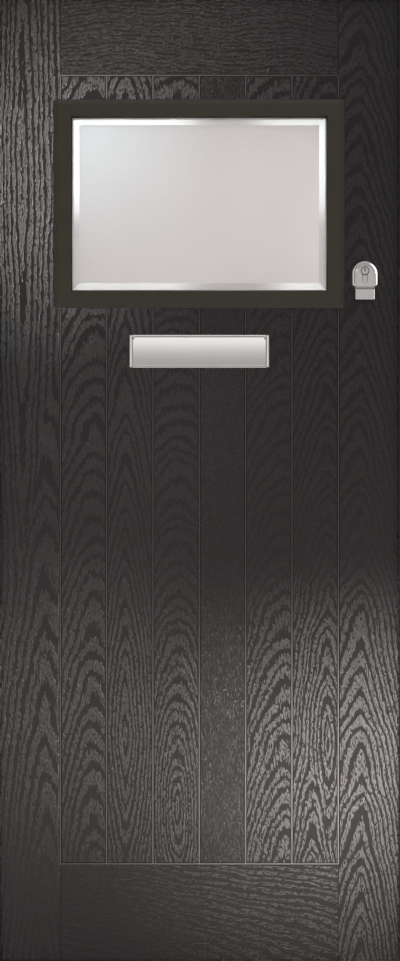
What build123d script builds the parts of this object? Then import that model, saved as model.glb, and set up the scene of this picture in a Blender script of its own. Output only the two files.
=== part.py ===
"""A panelled front door in its frame: grooved moulded leaf, glazed light, letterplate and latching lock.

X runs across the opening, with the hinges at -X and the lock at +X. Y runs through the wall, from the
street at -Y to the room at +Y. Z is up, and the origin is the middle of the threshold's underside.
All sizes are in millimetres.
"""

from build123d import *
import os

os.makedirs("parts", exist_ok=True)

# The opening between the frame's stops, which is what shows of the leaf from the street
sight_width = 820.0
sight_height = 1980.0

# Frame
jamb_face = 58.0  # sight line to the frame's outer edge
stop_thickness = 22.0
stop_cover = 12.0  # how far the stop laps over the leaf
seal_gap = 4.0  # stop to leaf
edge_gap = 5.0  # leaf edge to rebate
sill_height = 34.0  # underside of the frame to the lower sight line
foot_gap = 6.0  # leaf to threshold tread
arris_radius = 3.0
nose_reach = 24.0  # threshold in front of the frame
nose_height = 9.0
threshold_wall = 3.0
tread_rib_count = 4
tread_rib_pitch = 8.0
tread_rib_depth = 1.0
fixing_radius = 4.0
fixing_count = 4
fixing_inset = 196.0  # frame's end to its first wall fixing

# Seals
seal_width = 8.0
seal_clearance = 0.3
seal_stem_width = 3.0
seal_stem_depth = 5.0
groove_clearance = 0.1
foot_seal_width = 10.0
foot_seal_depth = 8.0
foot_seal_clearance = 0.5

# Leaf
leaf_thickness = 44.0
skin_thickness = 3.0
top_rail_height = 155.0  # sight line to the planks
bottom_rail_height = 200.0
stile_face = 123.5  # sight line to the planks
plank_count = 6
groove_width = 5.0
groove_depth = 2.0
scribe_width = 1.6  # the fine line between stile and rail
scribe_depth = 0.8
hinge_stile_width = 60.0
top_core_height = 100.0
bottom_core_height = 140.0

# Glazed light
glass_height = 360.0  # inside the cassette
cassette_face = 35.0
cassette_lap = 12.5  # cassette past the planks, over the stiles
cassette_drop = 50.0  # top of the planks to the cassette
cassette_projection = 9.0
cassette_edge = 3.5  # height of the cassette's upright outer edge
cassette_bevel = 9.0
cassette_corner = 6.0
cassette_inner_corner = 2.0
sight_chamfer = 2.0
glass_lap = 11.0  # glass behind the cassette's lip
glass_clearance = 1.0
cassette_spigot = 8.0
cassette_gap = 1.0  # between the two cassettes' spigots
aperture_clearance = 1.0
unit_thickness = 28.0
bevelled_pane_thickness = 6.0
bevelled_pane_rim = 3.5
bevel_width = 17.0  # bevel in sight
bevel_hidden = 3.0
inner_pane_thickness = 4.0
spacer_width = 6.0
spacer_inset = 0.5
gasket_lip = 2.5
gasket_reach = 2.0  # gasket in sight
packer_width = 100.0
packer_inset = 45.0  # glass's end to the packer
cassette_screw_radius = 2.0
cassette_screw_head = 3.8
cassette_screw_length = 44.0
cassette_screw_inset = 84.0  # glass's corner to the first screw

# Letterplate
plate_width = 288.0
plate_height = 67.0
plate_gap = 55.5  # cassette to the letterplate
plate_thickness = 3.0
end_cap_width = 6.5
end_cap_reach = 11.5  # leaf to the cap's front
end_cap_round = 2.0
top_rib_height = 1.8
top_rib_reach = 6.0
slot_width = 253.0
slot_height = 39.0
tunnel_wall = 1.5
tunnel_clearance = 0.5
flap_drop = 6.0  # top of the plate to the flap's pivot
flap_back_gap = 0.4
flap_thickness = 2.2
flap_bulge = 2.4
flap_lip_radius = 1.7
flap_side_gap = 0.7
flap_foot_gap = 1.6
flap_notch_width = 3.0
flap_notch_depth = 4.0
knuckle_radius = 3.2
flap_pin_radius = 1.5
flap_pin_clearance = 0.06
flap_pin_seat = 4.0  # pin inside each end cap
plate_bolt_radius = 2.0
plate_bolt_head = 3.8
plate_bolt_offset = 6.5  # letter slot's end to the bolt
plate_boss_wall = 1.2
plate_boss_depth = 14.0
boss_clearance = 0.3

# Lock, its hooks and their keeps
lock_rise = 41.0  # foot of the glass to the cylinder's axis
faceplate_width = 20.0
faceplate_thickness = 3.0
faceplate_end = 90.0  # hook's middle to the faceplate's end
faceplate_clearance = 0.2
case_tail = 35.0  # cylinder's axis to the case's back
case_cover = 11.0  # timber behind the case
case_drop = 50.0  # cylinder's axis to the case's foot
case_height = 150.0
case_thickness = 16.0
case_wall = 1.5
case_clearance = 0.4
latch_rise = 45.0
latch_height = 20.0
latch_thickness = 10.0
latch_length = 56.0
latch_throw = 14.0
latch_bevel = 6.0
latch_clearance = 0.4
upper_hook_rise = 350.0
lower_hook_drop = 900.0
hook_case_depth = 40.0
hook_case_height = 120.0
hook_pivot_inset = 18.0  # leaf edge to the hook's pivot
hook_pivot_drop = 20.0
hook_arm_width = 14.0
hook_length = 38.0
hook_nib_length = 10.0
hook_nib_reach = 15.0
hook_thickness = 8.0
hook_pin_radius = 3.0
hook_pin_clearance = 0.05
hook_clearance = 1.5
hook_end_clearance = 4.0
rod_width = 10.0
rod_thickness = 2.2
rod_clearance = 0.5
rod_travel = 15.0
rod_overlap = 22.0  # rod inside the lock case
keep_plate_thickness = 2.5
keep_plate_margin = 20.0
keep_box_wall = 1.5
keep_clearance = 0.2
keep_screw_inset = 9.0
edge_screw_inset = 12.0

# Cylinder, pull and thumbturn
cylinder_head_radius = 8.5
cylinder_stem_width = 10.0
cylinder_height = 33.0
cylinder_outer_length = 44.5
cylinder_inner_length = 30.0
cylinder_clearance = 0.5
plug_radius = 6.5
plug_clearance = 0.06
spindle_radius = 4.5
spindle_clearance = 0.05
cam_width = 10.0
cam_radius = 8.2
cam_reach = 15.0
cam_tooth_width = 6.0
cam_clearance = 0.2
cam_bridge_gap = 1.2
cam_slot_margin = 1.0
keyway_width = 2.2
keyway_height = 8.0
keyway_depth = 20.0
cylinder_screw_radius = 2.3
cylinder_screw_drop = 20.6
pull_width = 55.0
pull_gap = 14.0  # cassette to the pull
pull_head = 21.0  # cylinder's axis to the pull's top
pull_body_drop = 34.0  # cylinder's axis to the housing's foot
pull_drop = 59.0  # cylinder's axis to the finger tab's foot
pull_projection = 24.0
pull_rim_radius = 7.0
pull_foot_radius = 7.5
pull_wall = 3.5
pull_recess = 2.0
pull_step = 1.3
pull_step_width = 1.3  # the first step's slant
pull_ledge = 0.5
pull_lip_width = 0.6  # the second step's slant
pull_face_width = 39.5
tab_groove_drop = 32.0  # cylinder's axis to the groove above the tab
tab_groove_depth = 6.0
tab_groove_height = 6.0
tab_thickness = 3.5
tab_flare = 7.0  # groove's floor to the tab's foot
tab_lean = 1.0
tab_bury = 0.75  # tab's root inside the housing
tab_round = 0.8
boss_radius = 5.6
through_bolt_radius = 2.5
through_bolt_spacing = 38.0
through_bolt_head = 4.5
through_bolt_clearance = 0.3
through_bolt_end = 11.0  # bolt inside the pull
bolt_hole_end = 1.0  # hole past the bolt's end
escutcheon_thickness = 7.0
escutcheon_drop = 40.0  # bolts to the inner escutcheon's ends
escutcheon_round = 2.5
turn_gap = 0.5
turn_collar_radius = 9.5
turn_collar_length = 5.0
turn_grip_width = 30.0
turn_grip_thickness = 13.0
turn_grip_length = 14.0
turn_grip_round = 3.0

# Hinges
hinge_inset = 220.0  # leaf's end to the outer hinges' middles
hinge_length = 100.0
hinge_radius = 8.0
hinge_standoff = 9.5  # leaf's inner face to the pin
hinge_pin_radius = 4.0
hinge_pin_clearance = 0.05
hinge_gap = 1.0
hinge_leaf_knuckle = 38.0
hinge_plate_thickness = 4.0
hinge_frame_plate_width = 36.0
hinge_leaf_plate_width = 60.0
hinge_plate_clearance = 1.5
hinge_cap_height = 4.0

# Screws
wood_screw_radius = 2.2
wood_screw_head = 4.4
wood_screw_length = 28.0
pilot_clearance = 0.05

# Places that follow from the sizes above
sight_x = sight_width / 2
outer_x = sight_x + jamb_face
leaf_x = sight_x + stop_cover
rebate_x = leaf_x + edge_gap
seal_x = sight_x + stop_cover / 2
sight_top = sill_height + sight_height
outer_top = sight_top + jamb_face
leaf_top = sight_top + stop_cover
leaf_bottom = sill_height - stop_cover
rebate_top = leaf_top + edge_gap
tread_top = leaf_bottom - foot_gap
seal_top = sight_top + stop_cover / 2
seal_bottom = sill_height - stop_cover / 2
leaf_middle_z = (leaf_top + leaf_bottom) / 2
fixing_spacing = (outer_top - 2 * fixing_inset) / (fixing_count - 1)

frame_depth = stop_thickness + seal_gap + leaf_thickness
frame_front = -frame_depth / 2
frame_back = frame_depth / 2
stop_back = frame_front + stop_thickness
leaf_front = stop_back + seal_gap
leaf_back = leaf_front + leaf_thickness
core_front = leaf_front + skin_thickness
core_back = leaf_back - skin_thickness
leaf_middle_y = (leaf_front + leaf_back) / 2

panel_x = sight_x - stile_face
plank_width = 2 * panel_x / plank_count
panel_bottom = sill_height + bottom_rail_height
panel_top = sight_top - top_rail_height
core_hinge_x = -leaf_x + hinge_stile_width

cassette_x = panel_x + cassette_lap
cassette_foot = panel_top - cassette_drop - glass_height - 2 * cassette_face
glass_width = 2 * (cassette_x - cassette_face)
glass_z = cassette_foot + cassette_face + glass_height / 2
glass_edge = glass_lap + glass_clearance
spigot_reach = glass_edge + cassette_spigot
aperture_reach = spigot_reach + aperture_clearance
unit_front = leaf_middle_y - unit_thickness / 2
unit_back = leaf_middle_y + unit_thickness / 2
rim_front = unit_front + bevelled_pane_thickness - bevelled_pane_rim
bevelled_back = unit_front + bevelled_pane_thickness
inner_pane_front = unit_back - inner_pane_thickness
cassette_front = leaf_front - cassette_projection
cassette_back = leaf_back + cassette_projection
lip_front = unit_front - gasket_lip
lip_back = unit_back + gasket_lip
screw_reach = glass_edge + cassette_spigot / 2
packer_spacing = glass_width + 2 * (glass_lap - packer_inset) - packer_width

plate_z = cassette_foot - plate_gap - plate_height / 2
plate_front = leaf_front - plate_thickness
plate_back = leaf_back + plate_thickness
flap_pivot_z = plate_z + plate_height / 2 - flap_drop
flap_pivot_y = plate_front - flap_back_gap - knuckle_radius
flap_foot_z = plate_z - plate_height / 2 + flap_foot_gap
flap_half_width = plate_width / 2 - end_cap_width - flap_side_gap
plate_bolt_x = slot_width / 2 + plate_bolt_offset
plate_bolt_xs = (-plate_bolt_x, plate_bolt_x)
plate_boss_radius = plate_bolt_radius + plate_boss_wall

lock_x = cassette_x + pull_gap + pull_width / 2
lock_z = glass_z - glass_height / 2 + lock_rise
backset = leaf_x - lock_x
core_lock_x = lock_x - case_tail - case_cover
latch_z = lock_z + latch_rise
case_foot = lock_z - case_drop
case_top = case_foot + case_height
faceplate_back = leaf_x - faceplate_thickness
case_depth = faceplate_back - lock_x + case_tail
hook_places = {"upper": lock_z + upper_hook_rise, "lower": lock_z - lower_hook_drop}
faceplate_top = hook_places["upper"] + faceplate_end
faceplate_foot = hook_places["lower"] - faceplate_end
hook_pivot_x = leaf_x - hook_pivot_inset
hook_swing = (hook_length**2 + hook_nib_reach**2) ** 0.5
rod_back = faceplate_back - 2 * rod_clearance - rod_thickness
keep_back = rebate_x + keep_plate_thickness

stem_radius = cylinder_stem_width / 2
stem_drop = cylinder_height - cylinder_head_radius - stem_radius
cylinder_front = leaf_middle_y - cylinder_outer_length
cylinder_back = leaf_middle_y + cylinder_inner_length
cam_front = leaf_middle_y - cam_width / 2
cam_back = leaf_middle_y + cam_width / 2
pull_front = leaf_front - pull_projection
pull_arch_z = lock_z + pull_head - pull_width / 2
through_bolt_xs = (lock_x - through_bolt_spacing / 2, lock_x + through_bolt_spacing / 2)
escutcheon_back = leaf_back + escutcheon_thickness

hinge_x = -(leaf_x + edge_gap / 2)
hinge_y = leaf_back + hinge_standoff
hinge_places = {
    "upper": leaf_top - hinge_inset,
    "middle": leaf_middle_z,
    "lower": leaf_bottom + hinge_inset,
}
hinge_plate_back = leaf_back + hinge_plate_thickness
hinge_screw_zs = (-hinge_length * 0.34, 0, hinge_length * 0.34)
frame_screw_x = hinge_x - (hinge_frame_plate_width + hinge_radius) / 2
leaf_screw_x = hinge_x + (hinge_leaf_plate_width + hinge_radius) / 2
frame_screw_places = [(frame_screw_x, z + dz) for z in hinge_places.values() for dz in hinge_screw_zs]
leaf_screw_places = [(leaf_screw_x, z + dz) for z in hinge_places.values() for dz in hinge_screw_zs]

cassette_screw_x = glass_width / 2 - cassette_screw_inset
cassette_screw_rise = glass_height / 2 - cassette_screw_inset
cassette_screw_places = [
    (x, glass_z + side * (glass_height / 2 + screw_reach))
    for side in (-1, 1)
    for x in (-cassette_screw_x, 0, cassette_screw_x)
] + [
    (side * (glass_width / 2 + screw_reach), glass_z + dz)
    for side in (-1, 1)
    for dz in (-cassette_screw_rise, cassette_screw_rise)
]


def upright(y):
    """An upright plane across the door at depth y. Its extrusions grow towards the street."""
    return Plane.XZ.offset(-y)


def span(x_low, x_high, z_low, z_high, mode=Mode.ADD):
    """A rectangle in the current sketch, given by its four sides."""
    with Locations(((x_low + x_high) / 2, (z_low + z_high) / 2)):
        Rectangle(x_high - x_low, z_high - z_low, mode=mode)


def screw(at, direction, length, radius, head, grow=0.0, mode=Mode.ADD):
    """A countersunk screw in the current part, from the middle of its head's face along a direction."""
    with Locations(Plane(origin=at, z_dir=direction)):
        low = (Align.CENTER, Align.CENTER, Align.MIN)
        Cylinder(radius + grow, length + grow, align=low, mode=mode)
        Cone(head + grow, radius + grow, head - radius, align=low, mode=mode)


def light_ring(outer_reach, inner_reach):
    """A ring round the glass in the current sketch, measured outwards from the glass in sight."""
    with Locations((0, glass_z)):
        Rectangle(glass_width + 2 * outer_reach, glass_height + 2 * outer_reach)
        Rectangle(
            glass_width + 2 * inner_reach, glass_height + 2 * inner_reach, mode=Mode.SUBTRACT
        )


def light_opening(reach, mode=Mode.ADD):
    """A rectangle round the glass in the current sketch, reaching past the glass in sight."""
    with Locations((0, glass_z)):
        Rectangle(glass_width + 2 * reach, glass_height + 2 * reach, mode=mode)


def letter_holes():
    """Takes the letter slot and the letterplate's boss holes out of the current sketch."""
    grow = 2 * (tunnel_wall + tunnel_clearance)
    with Locations((0, plate_z)):
        Rectangle(slot_width + grow, slot_height + grow, mode=Mode.SUBTRACT)
    with Locations(*[(x, plate_z) for x in plate_bolt_xs]):
        Circle(plate_boss_radius + boss_clearance, mode=Mode.SUBTRACT)


def keyhole(grow, mode=Mode.ADD):
    """The lock cylinder's outline in the current sketch, grown by a clearance."""
    with Locations((lock_x, lock_z)):
        Circle(cylinder_head_radius + grow, mode=mode)
    with Locations((lock_x, lock_z - stem_drop / 2)):
        Rectangle(cylinder_stem_width + 2 * grow, stem_drop, mode=mode)
    with Locations((lock_x, lock_z - stem_drop)):
        Circle(stem_radius + grow, mode=mode)


def lock_holes():
    """Takes the cylinder's hole and the pull's two bolt holes out of the current sketch."""
    keyhole(cylinder_clearance, mode=Mode.SUBTRACT)
    with Locations(*[(x, pull_arch_z) for x in through_bolt_xs]):
        Circle(through_bolt_radius + through_bolt_clearance, mode=Mode.SUBTRACT)


def pull_arch(width, foot_z, mode=Mode.ADD):
    """The pull's outline in the current sketch: a round head on straight sides down to foot_z."""
    with Locations((lock_x, pull_arch_z)):
        Circle(width / 2, mode=mode)
    span(lock_x - width / 2, lock_x + width / 2, foot_z, pull_arch_z, mode=mode)


# Frame


def side_outline(side, inner, outer):
    """A jamb or stop in the current sketch, mitred at its head between two (x, z) corners.

    side is -1 at the hinges.
    """
    Polygon(
        (side * outer[0], 0), (side * inner[0], 0), (side * inner[0], inner[1]), (side * outer[0], outer[1]),
        align=None,
    )


def head_outline(inner, outer):
    """A head or its stop in the current sketch, mitred at both ends between two (x, z) corners."""
    Polygon(
        (-outer[0], outer[1]), (-inner[0], inner[1]), inner, outer, align=None
    )


sight_corner = (sight_x, sight_top)
rebate_corner = (rebate_x, rebate_top)
outer_corner = (outer_x, outer_top)
half_groove = seal_stem_width / 2 + groove_clearance
groove_inner_corner = (seal_x - half_groove, seal_top - half_groove)
groove_outer_corner = (seal_x + half_groove, seal_top + half_groove)


def jamb(side):
    """A frame jamb with its wall fixings. side is -1 at the hinges."""
    with BuildPart() as member:
        with BuildSketch(upright(frame_back)):
            side_outline(side, rebate_corner, outer_corner)
        extrude(amount=frame_depth)
        with BuildSketch(Plane.YZ.offset(side * outer_x)):
            with Locations((leaf_middle_y, outer_top / 2)):
                with GridLocations(0, fixing_spacing, 1, fixing_count):
                    Circle(fixing_radius)
        extrude(amount=-side * (outer_x - rebate_x), mode=Mode.SUBTRACT)
    return member.part


def side_stop(side):
    """The stop planted on a jamb, with the seal's groove in its back. side is -1 at the hinges."""
    with BuildPart() as member:
        with BuildSketch(upright(stop_back)):
            side_outline(side, sight_corner, rebate_corner)
        extrude(amount=stop_thickness)
        front_edges = member.edges().filter_by(Axis.Z).group_by(Axis.Y)[0].sort_by(Axis.X)
        fillet(front_edges[0 if side > 0 else -1], arris_radius)
        with BuildSketch(upright(stop_back)):
            side_outline(side, groove_inner_corner, groove_outer_corner)
        extrude(amount=seal_stem_depth + groove_clearance, mode=Mode.SUBTRACT)
    return member.part


hinge_side = jamb(-1)
with BuildPart() as hinge_jamb:
    add(hinge_side)
    for x, z in frame_screw_places:
        screw(
            (x, hinge_plate_back, z), (0, -1, 0), wood_screw_length, wood_screw_radius,
            wood_screw_head, pilot_clearance, Mode.SUBTRACT,
        )
hinge_jamb.part.label = "hinge_jamb"
export_step(hinge_jamb.part, "parts/hinge_jamb.step")


# Each keep: its middle, the window's foot and head, the window's half width, and the pocket's back
latch_window = (
    latch_z - latch_height / 2 - hook_clearance,
    latch_z + latch_height / 2 + hook_clearance,
)
latch_half = latch_thickness / 2 + hook_clearance
hook_windows = {}
for place, hook_z in hook_places.items():
    pivot_z = hook_z - hook_pivot_drop
    hook_windows[place] = (
        pivot_z - hook_arm_width / 2 - hook_clearance,
        pivot_z + hook_swing + hook_clearance,
    )
hook_half = hook_thickness / 2 + hook_clearance
keep_pockets = [
    (latch_window, latch_half, leaf_x + latch_throw + hook_clearance),
    (hook_windows["upper"], hook_half, hook_pivot_x + hook_length + hook_end_clearance),
    (hook_windows["lower"], hook_half, hook_pivot_x + hook_length + hook_end_clearance),
]


def keep(window, half, pocket_back, grow=0.0, mode=Mode.ADD):
    """A keep in the current part: a plate in the rebate with a box behind its window."""
    with BuildSketch(Plane.YZ.offset(rebate_x)) as shape:
        span(
            leaf_middle_y - faceplate_width / 2 - grow,
            leaf_middle_y + faceplate_width / 2 + grow,
            window[0] - keep_plate_margin - grow,
            window[1] + keep_plate_margin + grow,
        )
    extrude(shape.sketch, amount=keep_plate_thickness, mode=mode)
    wall = keep_box_wall + grow
    with BuildSketch(Plane.YZ.offset(rebate_x)) as shape:
        span(
            leaf_middle_y - half - wall, leaf_middle_y + half + wall, window[0] - wall, window[1] + wall
        )
    extrude(shape.sketch, amount=pocket_back + wall - rebate_x, mode=mode)


def keep_window(window, half, pocket_back):
    """Opens a keep's window and the inside of its box."""
    with BuildSketch(Plane.YZ.offset(rebate_x)) as shape:
        span(leaf_middle_y - half, leaf_middle_y + half, window[0], window[1])
    extrude(shape.sketch, amount=pocket_back - rebate_x, mode=Mode.SUBTRACT)


keep_screw_zs = [
    z
    for window, _, _ in keep_pockets
    for z in (window[0] - keep_screw_inset, window[1] + keep_screw_inset)
]


def keep_screws_at(grow=0.0, mode=Mode.ADD):
    for z in keep_screw_zs:
        screw(
            (rebate_x, leaf_middle_y, z), (1, 0, 0), wood_screw_length, wood_screw_radius,
            wood_screw_head, grow, mode,
        )


lock_side = jamb(1)
with BuildPart() as lock_jamb:
    add(lock_side)
    for pocket in keep_pockets:
        keep(*pocket, grow=keep_clearance, mode=Mode.SUBTRACT)
    keep_screws_at(pilot_clearance, Mode.SUBTRACT)
lock_jamb.part.label = "lock_jamb"
export_step(lock_jamb.part, "parts/lock_jamb.step")

with BuildPart() as latch_keep:
    keep(*keep_pockets[0])
    keep_window(*keep_pockets[0])
    keep_screws_at(pilot_clearance, Mode.SUBTRACT)
latch_keep.part.label = "latch_keep"
export_step(latch_keep.part, "parts/latch_keep.step")

with BuildPart() as hook_keeps:
    for pocket in keep_pockets[1:]:
        keep(*pocket)
        keep_window(*pocket)
    keep_screws_at(pilot_clearance, Mode.SUBTRACT)
hook_keeps.part.label = "hook_keeps"
export_step(hook_keeps.part, "parts/hook_keeps.step")

with BuildPart() as keep_screws:
    keep_screws_at()
keep_screws.part.label = "keep_screws"
export_step(keep_screws.part, "parts/keep_screws.step")


with BuildPart() as head_member:
    with BuildSketch(upright(frame_back)):
        head_outline(rebate_corner, outer_corner)
    extrude(amount=frame_depth)
head_member.part.label = "head_member"
export_step(head_member.part, "parts/head_member.step")

with BuildPart() as hinge_stop:
    add(side_stop(-1))
hinge_stop.part.label = "hinge_stop"
export_step(hinge_stop.part, "parts/hinge_stop.step")

with BuildPart() as lock_stop:
    add(side_stop(1))
lock_stop.part.label = "lock_stop"
export_step(lock_stop.part, "parts/lock_stop.step")

with BuildPart() as head_stop:
    with BuildSketch(upright(stop_back)):
        head_outline(sight_corner, rebate_corner)
    extrude(amount=stop_thickness)
    fillet(head_stop.edges().filter_by(Axis.X).group_by(Axis.Y)[0].sort_by(Axis.Z)[0], arris_radius)
    with BuildSketch(upright(stop_back)):
        head_outline(groove_inner_corner, groove_outer_corner)
    extrude(amount=seal_stem_depth + groove_clearance, mode=Mode.SUBTRACT)
head_stop.part.label = "head_stop"
export_step(head_stop.part, "parts/head_stop.step")

# The threshold is a hollow extrusion with its ends notched round the jambs
with BuildPart() as threshold:
    with BuildSketch(Plane.YZ.offset(-sight_x)):
        with BuildLine():
            Polyline(
                (frame_front - nose_reach, 0),
                (stop_back, 0),
                (stop_back, sill_height),
                (frame_front + arris_radius, sill_height),
                (frame_front, sill_height - arris_radius),
                (frame_front, nose_height * 1.6),
                (frame_front - nose_reach, nose_height),
                close=True,
            )
        make_face()
        span(
            frame_front + threshold_wall,
            stop_back - threshold_wall,
            threshold_wall,
            sill_height - threshold_wall,
            Mode.SUBTRACT,
        )
    extrude(amount=sight_width)
    with BuildSketch(Plane.YZ.offset(-rebate_x)):
        span(stop_back, frame_back, 0, tread_top)
        span(
            stop_back + threshold_wall,
            frame_back - threshold_wall,
            threshold_wall,
            tread_top - threshold_wall,
            Mode.SUBTRACT,
        )
        with Locations((leaf_middle_y, tread_top - tread_rib_depth / 2)):
            with GridLocations(tread_rib_pitch, 0, tread_rib_count, 1):
                Rectangle(tread_rib_pitch / 3, tread_rib_depth, mode=Mode.SUBTRACT)
    extrude(amount=2 * rebate_x)
threshold.part.label = "threshold"
export_step(threshold.part, "parts/threshold.step")

with BuildPart() as frame_seal:
    with BuildSketch(upright(stop_back)):
        with Locations((0, (seal_top + seal_bottom) / 2)):
            Rectangle(2 * seal_x + seal_width, seal_top - seal_bottom + seal_width)
            Rectangle(2 * seal_x - seal_width, seal_top - seal_bottom - seal_width, mode=Mode.SUBTRACT)
    extrude(amount=-(seal_gap - seal_clearance))
    with BuildSketch(upright(stop_back)):
        span(
            -seal_x - seal_stem_width / 2,
            seal_x + seal_stem_width / 2,
            sill_height,
            seal_top + seal_stem_width / 2,
        )
        span(
            -seal_x + seal_stem_width / 2,
            seal_x - seal_stem_width / 2,
            sill_height,
            seal_top - seal_stem_width / 2,
            Mode.SUBTRACT,
        )
    extrude(amount=seal_stem_depth)
frame_seal.part.label = "frame_seal"
export_step(frame_seal.part, "parts/frame_seal.step")

# Leaf


def foot_groove():
    """Takes the bottom seal's groove out of the current part, along the leaf's whole width."""
    with BuildSketch(Plane.YZ.offset(-leaf_x)) as shape:
        span(
            leaf_middle_y - foot_seal_width / 2,
            leaf_middle_y + foot_seal_width / 2,
            leaf_bottom,
            leaf_bottom + foot_seal_depth,
        )
    extrude(shape.sketch, amount=2 * leaf_x, mode=Mode.SUBTRACT)


def upright_groove(x, z_low, z_high, width, depth):
    """Cuts an upright V groove into the outer skin."""
    with BuildSketch(Plane.XY.offset(z_low)) as shape:
        Polygon(
            (x - width / 2, leaf_front), (x + width / 2, leaf_front), (x, leaf_front + depth), align=None
        )
    extrude(shape.sketch, amount=z_high - z_low, mode=Mode.SUBTRACT)


with BuildPart() as outer_skin:
    with BuildSketch(upright(core_front)):
        span(-leaf_x, leaf_x, leaf_bottom, leaf_top)
        light_opening(aperture_reach, Mode.SUBTRACT)
        letter_holes()
        lock_holes()
    extrude(amount=skin_thickness)
    for plank in range(plank_count + 1):
        upright_groove(-panel_x + plank * plank_width, panel_bottom, panel_top, groove_width, groove_depth)
    for x in (-panel_x, panel_x):
        upright_groove(x, leaf_bottom, panel_bottom, scribe_width, scribe_depth)
        upright_groove(x, panel_top, leaf_top, scribe_width, scribe_depth)
    for z in (panel_bottom, panel_top):
        with BuildSketch(Plane.YZ.offset(-panel_x)):
            Polygon(
                (leaf_front, z - groove_width / 2),
                (leaf_front, z + groove_width / 2),
                (leaf_front + groove_depth, z),
                align=None,
            )
        extrude(amount=2 * panel_x, mode=Mode.SUBTRACT)
outer_skin.part.label = "outer_skin"
export_step(outer_skin.part, "parts/outer_skin.step")


def leaf_hinge_screws(grow=0.0, mode=Mode.ADD):
    for x, z in leaf_screw_places:
        screw(
            (x, hinge_plate_back, z), (0, -1, 0), wood_screw_length, wood_screw_radius,
            wood_screw_head, grow, mode,
        )


with BuildPart() as inner_skin:
    mirror(outer_skin.part, about=upright(leaf_middle_y))
    leaf_hinge_screws(pilot_clearance, Mode.SUBTRACT)
inner_skin.part.label = "inner_skin"
export_step(inner_skin.part, "parts/inner_skin.step")

with BuildPart() as foam_core:
    with BuildSketch(upright(core_back)):
        span(core_hinge_x, core_lock_x, leaf_bottom + bottom_core_height, leaf_top - top_core_height)
        light_opening(aperture_reach, Mode.SUBTRACT)
        letter_holes()
    extrude(amount=core_back - core_front)
foam_core.part.label = "foam_core"
export_step(foam_core.part, "parts/foam_core.step")

with BuildPart() as hinge_stile:
    with BuildSketch(upright(core_back)):
        span(-leaf_x, core_hinge_x, leaf_bottom, leaf_top)
    extrude(amount=core_back - core_front)
    foot_groove()
    leaf_hinge_screws(pilot_clearance, Mode.SUBTRACT)
hinge_stile.part.label = "hinge_stile"
export_step(hinge_stile.part, "parts/hinge_stile.step")


def edge_pocket(x_low, z_low, z_high, half, mode=Mode.ADD):
    """A block from the faceplate's back into the leaf, about the leaf's middle plane."""
    with BuildSketch(Plane.YZ.offset(faceplate_back)) as shape:
        span(leaf_middle_y - half, leaf_middle_y + half, z_low, z_high)
    extrude(shape.sketch, amount=x_low - faceplate_back, mode=mode)


# The wood screws beside the lock case pass through slots in the rods
rod_screw_zs = {"upper": case_top + edge_screw_inset, "lower": case_foot - edge_screw_inset}
end_screw_zs = (faceplate_foot + edge_screw_inset, faceplate_top - edge_screw_inset)


def edge_screws_at(grow=0.0, mode=Mode.ADD):
    """The faceplate's wood screws and the long screw that holds the cylinder."""
    for z in (*end_screw_zs, *rod_screw_zs.values()):
        screw(
            (leaf_x, leaf_middle_y, z), (-1, 0, 0), wood_screw_length, wood_screw_radius,
            wood_screw_head, grow, mode,
        )
    screw(
        (leaf_x, leaf_middle_y, lock_z - cylinder_screw_drop), (-1, 0, 0), backset,
        cylinder_screw_radius, wood_screw_head, grow, mode,
    )


case_half = case_thickness / 2
with BuildPart() as lock_stile:
    with BuildSketch(upright(core_back)):
        span(core_lock_x, leaf_x, leaf_bottom, leaf_top)
        lock_holes()
    extrude(amount=core_back - core_front)
    foot_groove()
    with BuildSketch(Plane.YZ.offset(leaf_x)):
        span(
            leaf_middle_y - faceplate_width / 2 - faceplate_clearance,
            leaf_middle_y + faceplate_width / 2 + faceplate_clearance,
            faceplate_foot - faceplate_clearance,
            faceplate_top + faceplate_clearance,
        )
    extrude(amount=-faceplate_thickness, mode=Mode.SUBTRACT)
    edge_pocket(
        rod_back - rod_clearance,
        hook_places["lower"],
        hook_places["upper"],
        rod_width / 2 + rod_clearance,
        Mode.SUBTRACT,
    )
    edge_pocket(
        faceplate_back - case_depth - case_clearance,
        case_foot - case_clearance,
        case_top + case_clearance,
        case_half + case_clearance,
        Mode.SUBTRACT,
    )
    for hook_z in hook_places.values():
        edge_pocket(
            faceplate_back - hook_case_depth - case_clearance,
            hook_z - hook_case_height / 2 - case_clearance,
            hook_z + hook_case_height / 2 + case_clearance,
            case_half + case_clearance,
            Mode.SUBTRACT,
        )
    edge_screws_at(pilot_clearance, Mode.SUBTRACT)
lock_stile.part.label = "lock_stile"
export_step(lock_stile.part, "parts/lock_stile.step")

with BuildPart() as top_rail:
    with BuildSketch(upright(core_back)):
        span(core_hinge_x, core_lock_x, leaf_top - top_core_height, leaf_top)
    extrude(amount=core_back - core_front)
top_rail.part.label = "top_rail"
export_step(top_rail.part, "parts/top_rail.step")

with BuildPart() as bottom_rail:
    with BuildSketch(upright(core_back)):
        span(core_hinge_x, core_lock_x, leaf_bottom, leaf_bottom + bottom_core_height)
    extrude(amount=core_back - core_front)
    foot_groove()
bottom_rail.part.label = "bottom_rail"
export_step(bottom_rail.part, "parts/bottom_rail.step")

with BuildPart() as foot_seal:
    with BuildSketch(Plane.YZ.offset(-leaf_x)):
        span(
            leaf_middle_y - foot_seal_width / 2,
            leaf_middle_y + foot_seal_width / 2,
            tread_top + foot_seal_clearance,
            leaf_bottom + foot_seal_depth,
        )
    extrude(amount=2 * leaf_x)
foot_seal.part.label = "foot_seal"
export_step(foot_seal.part, "parts/foot_seal.step")

# Glazed light


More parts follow.
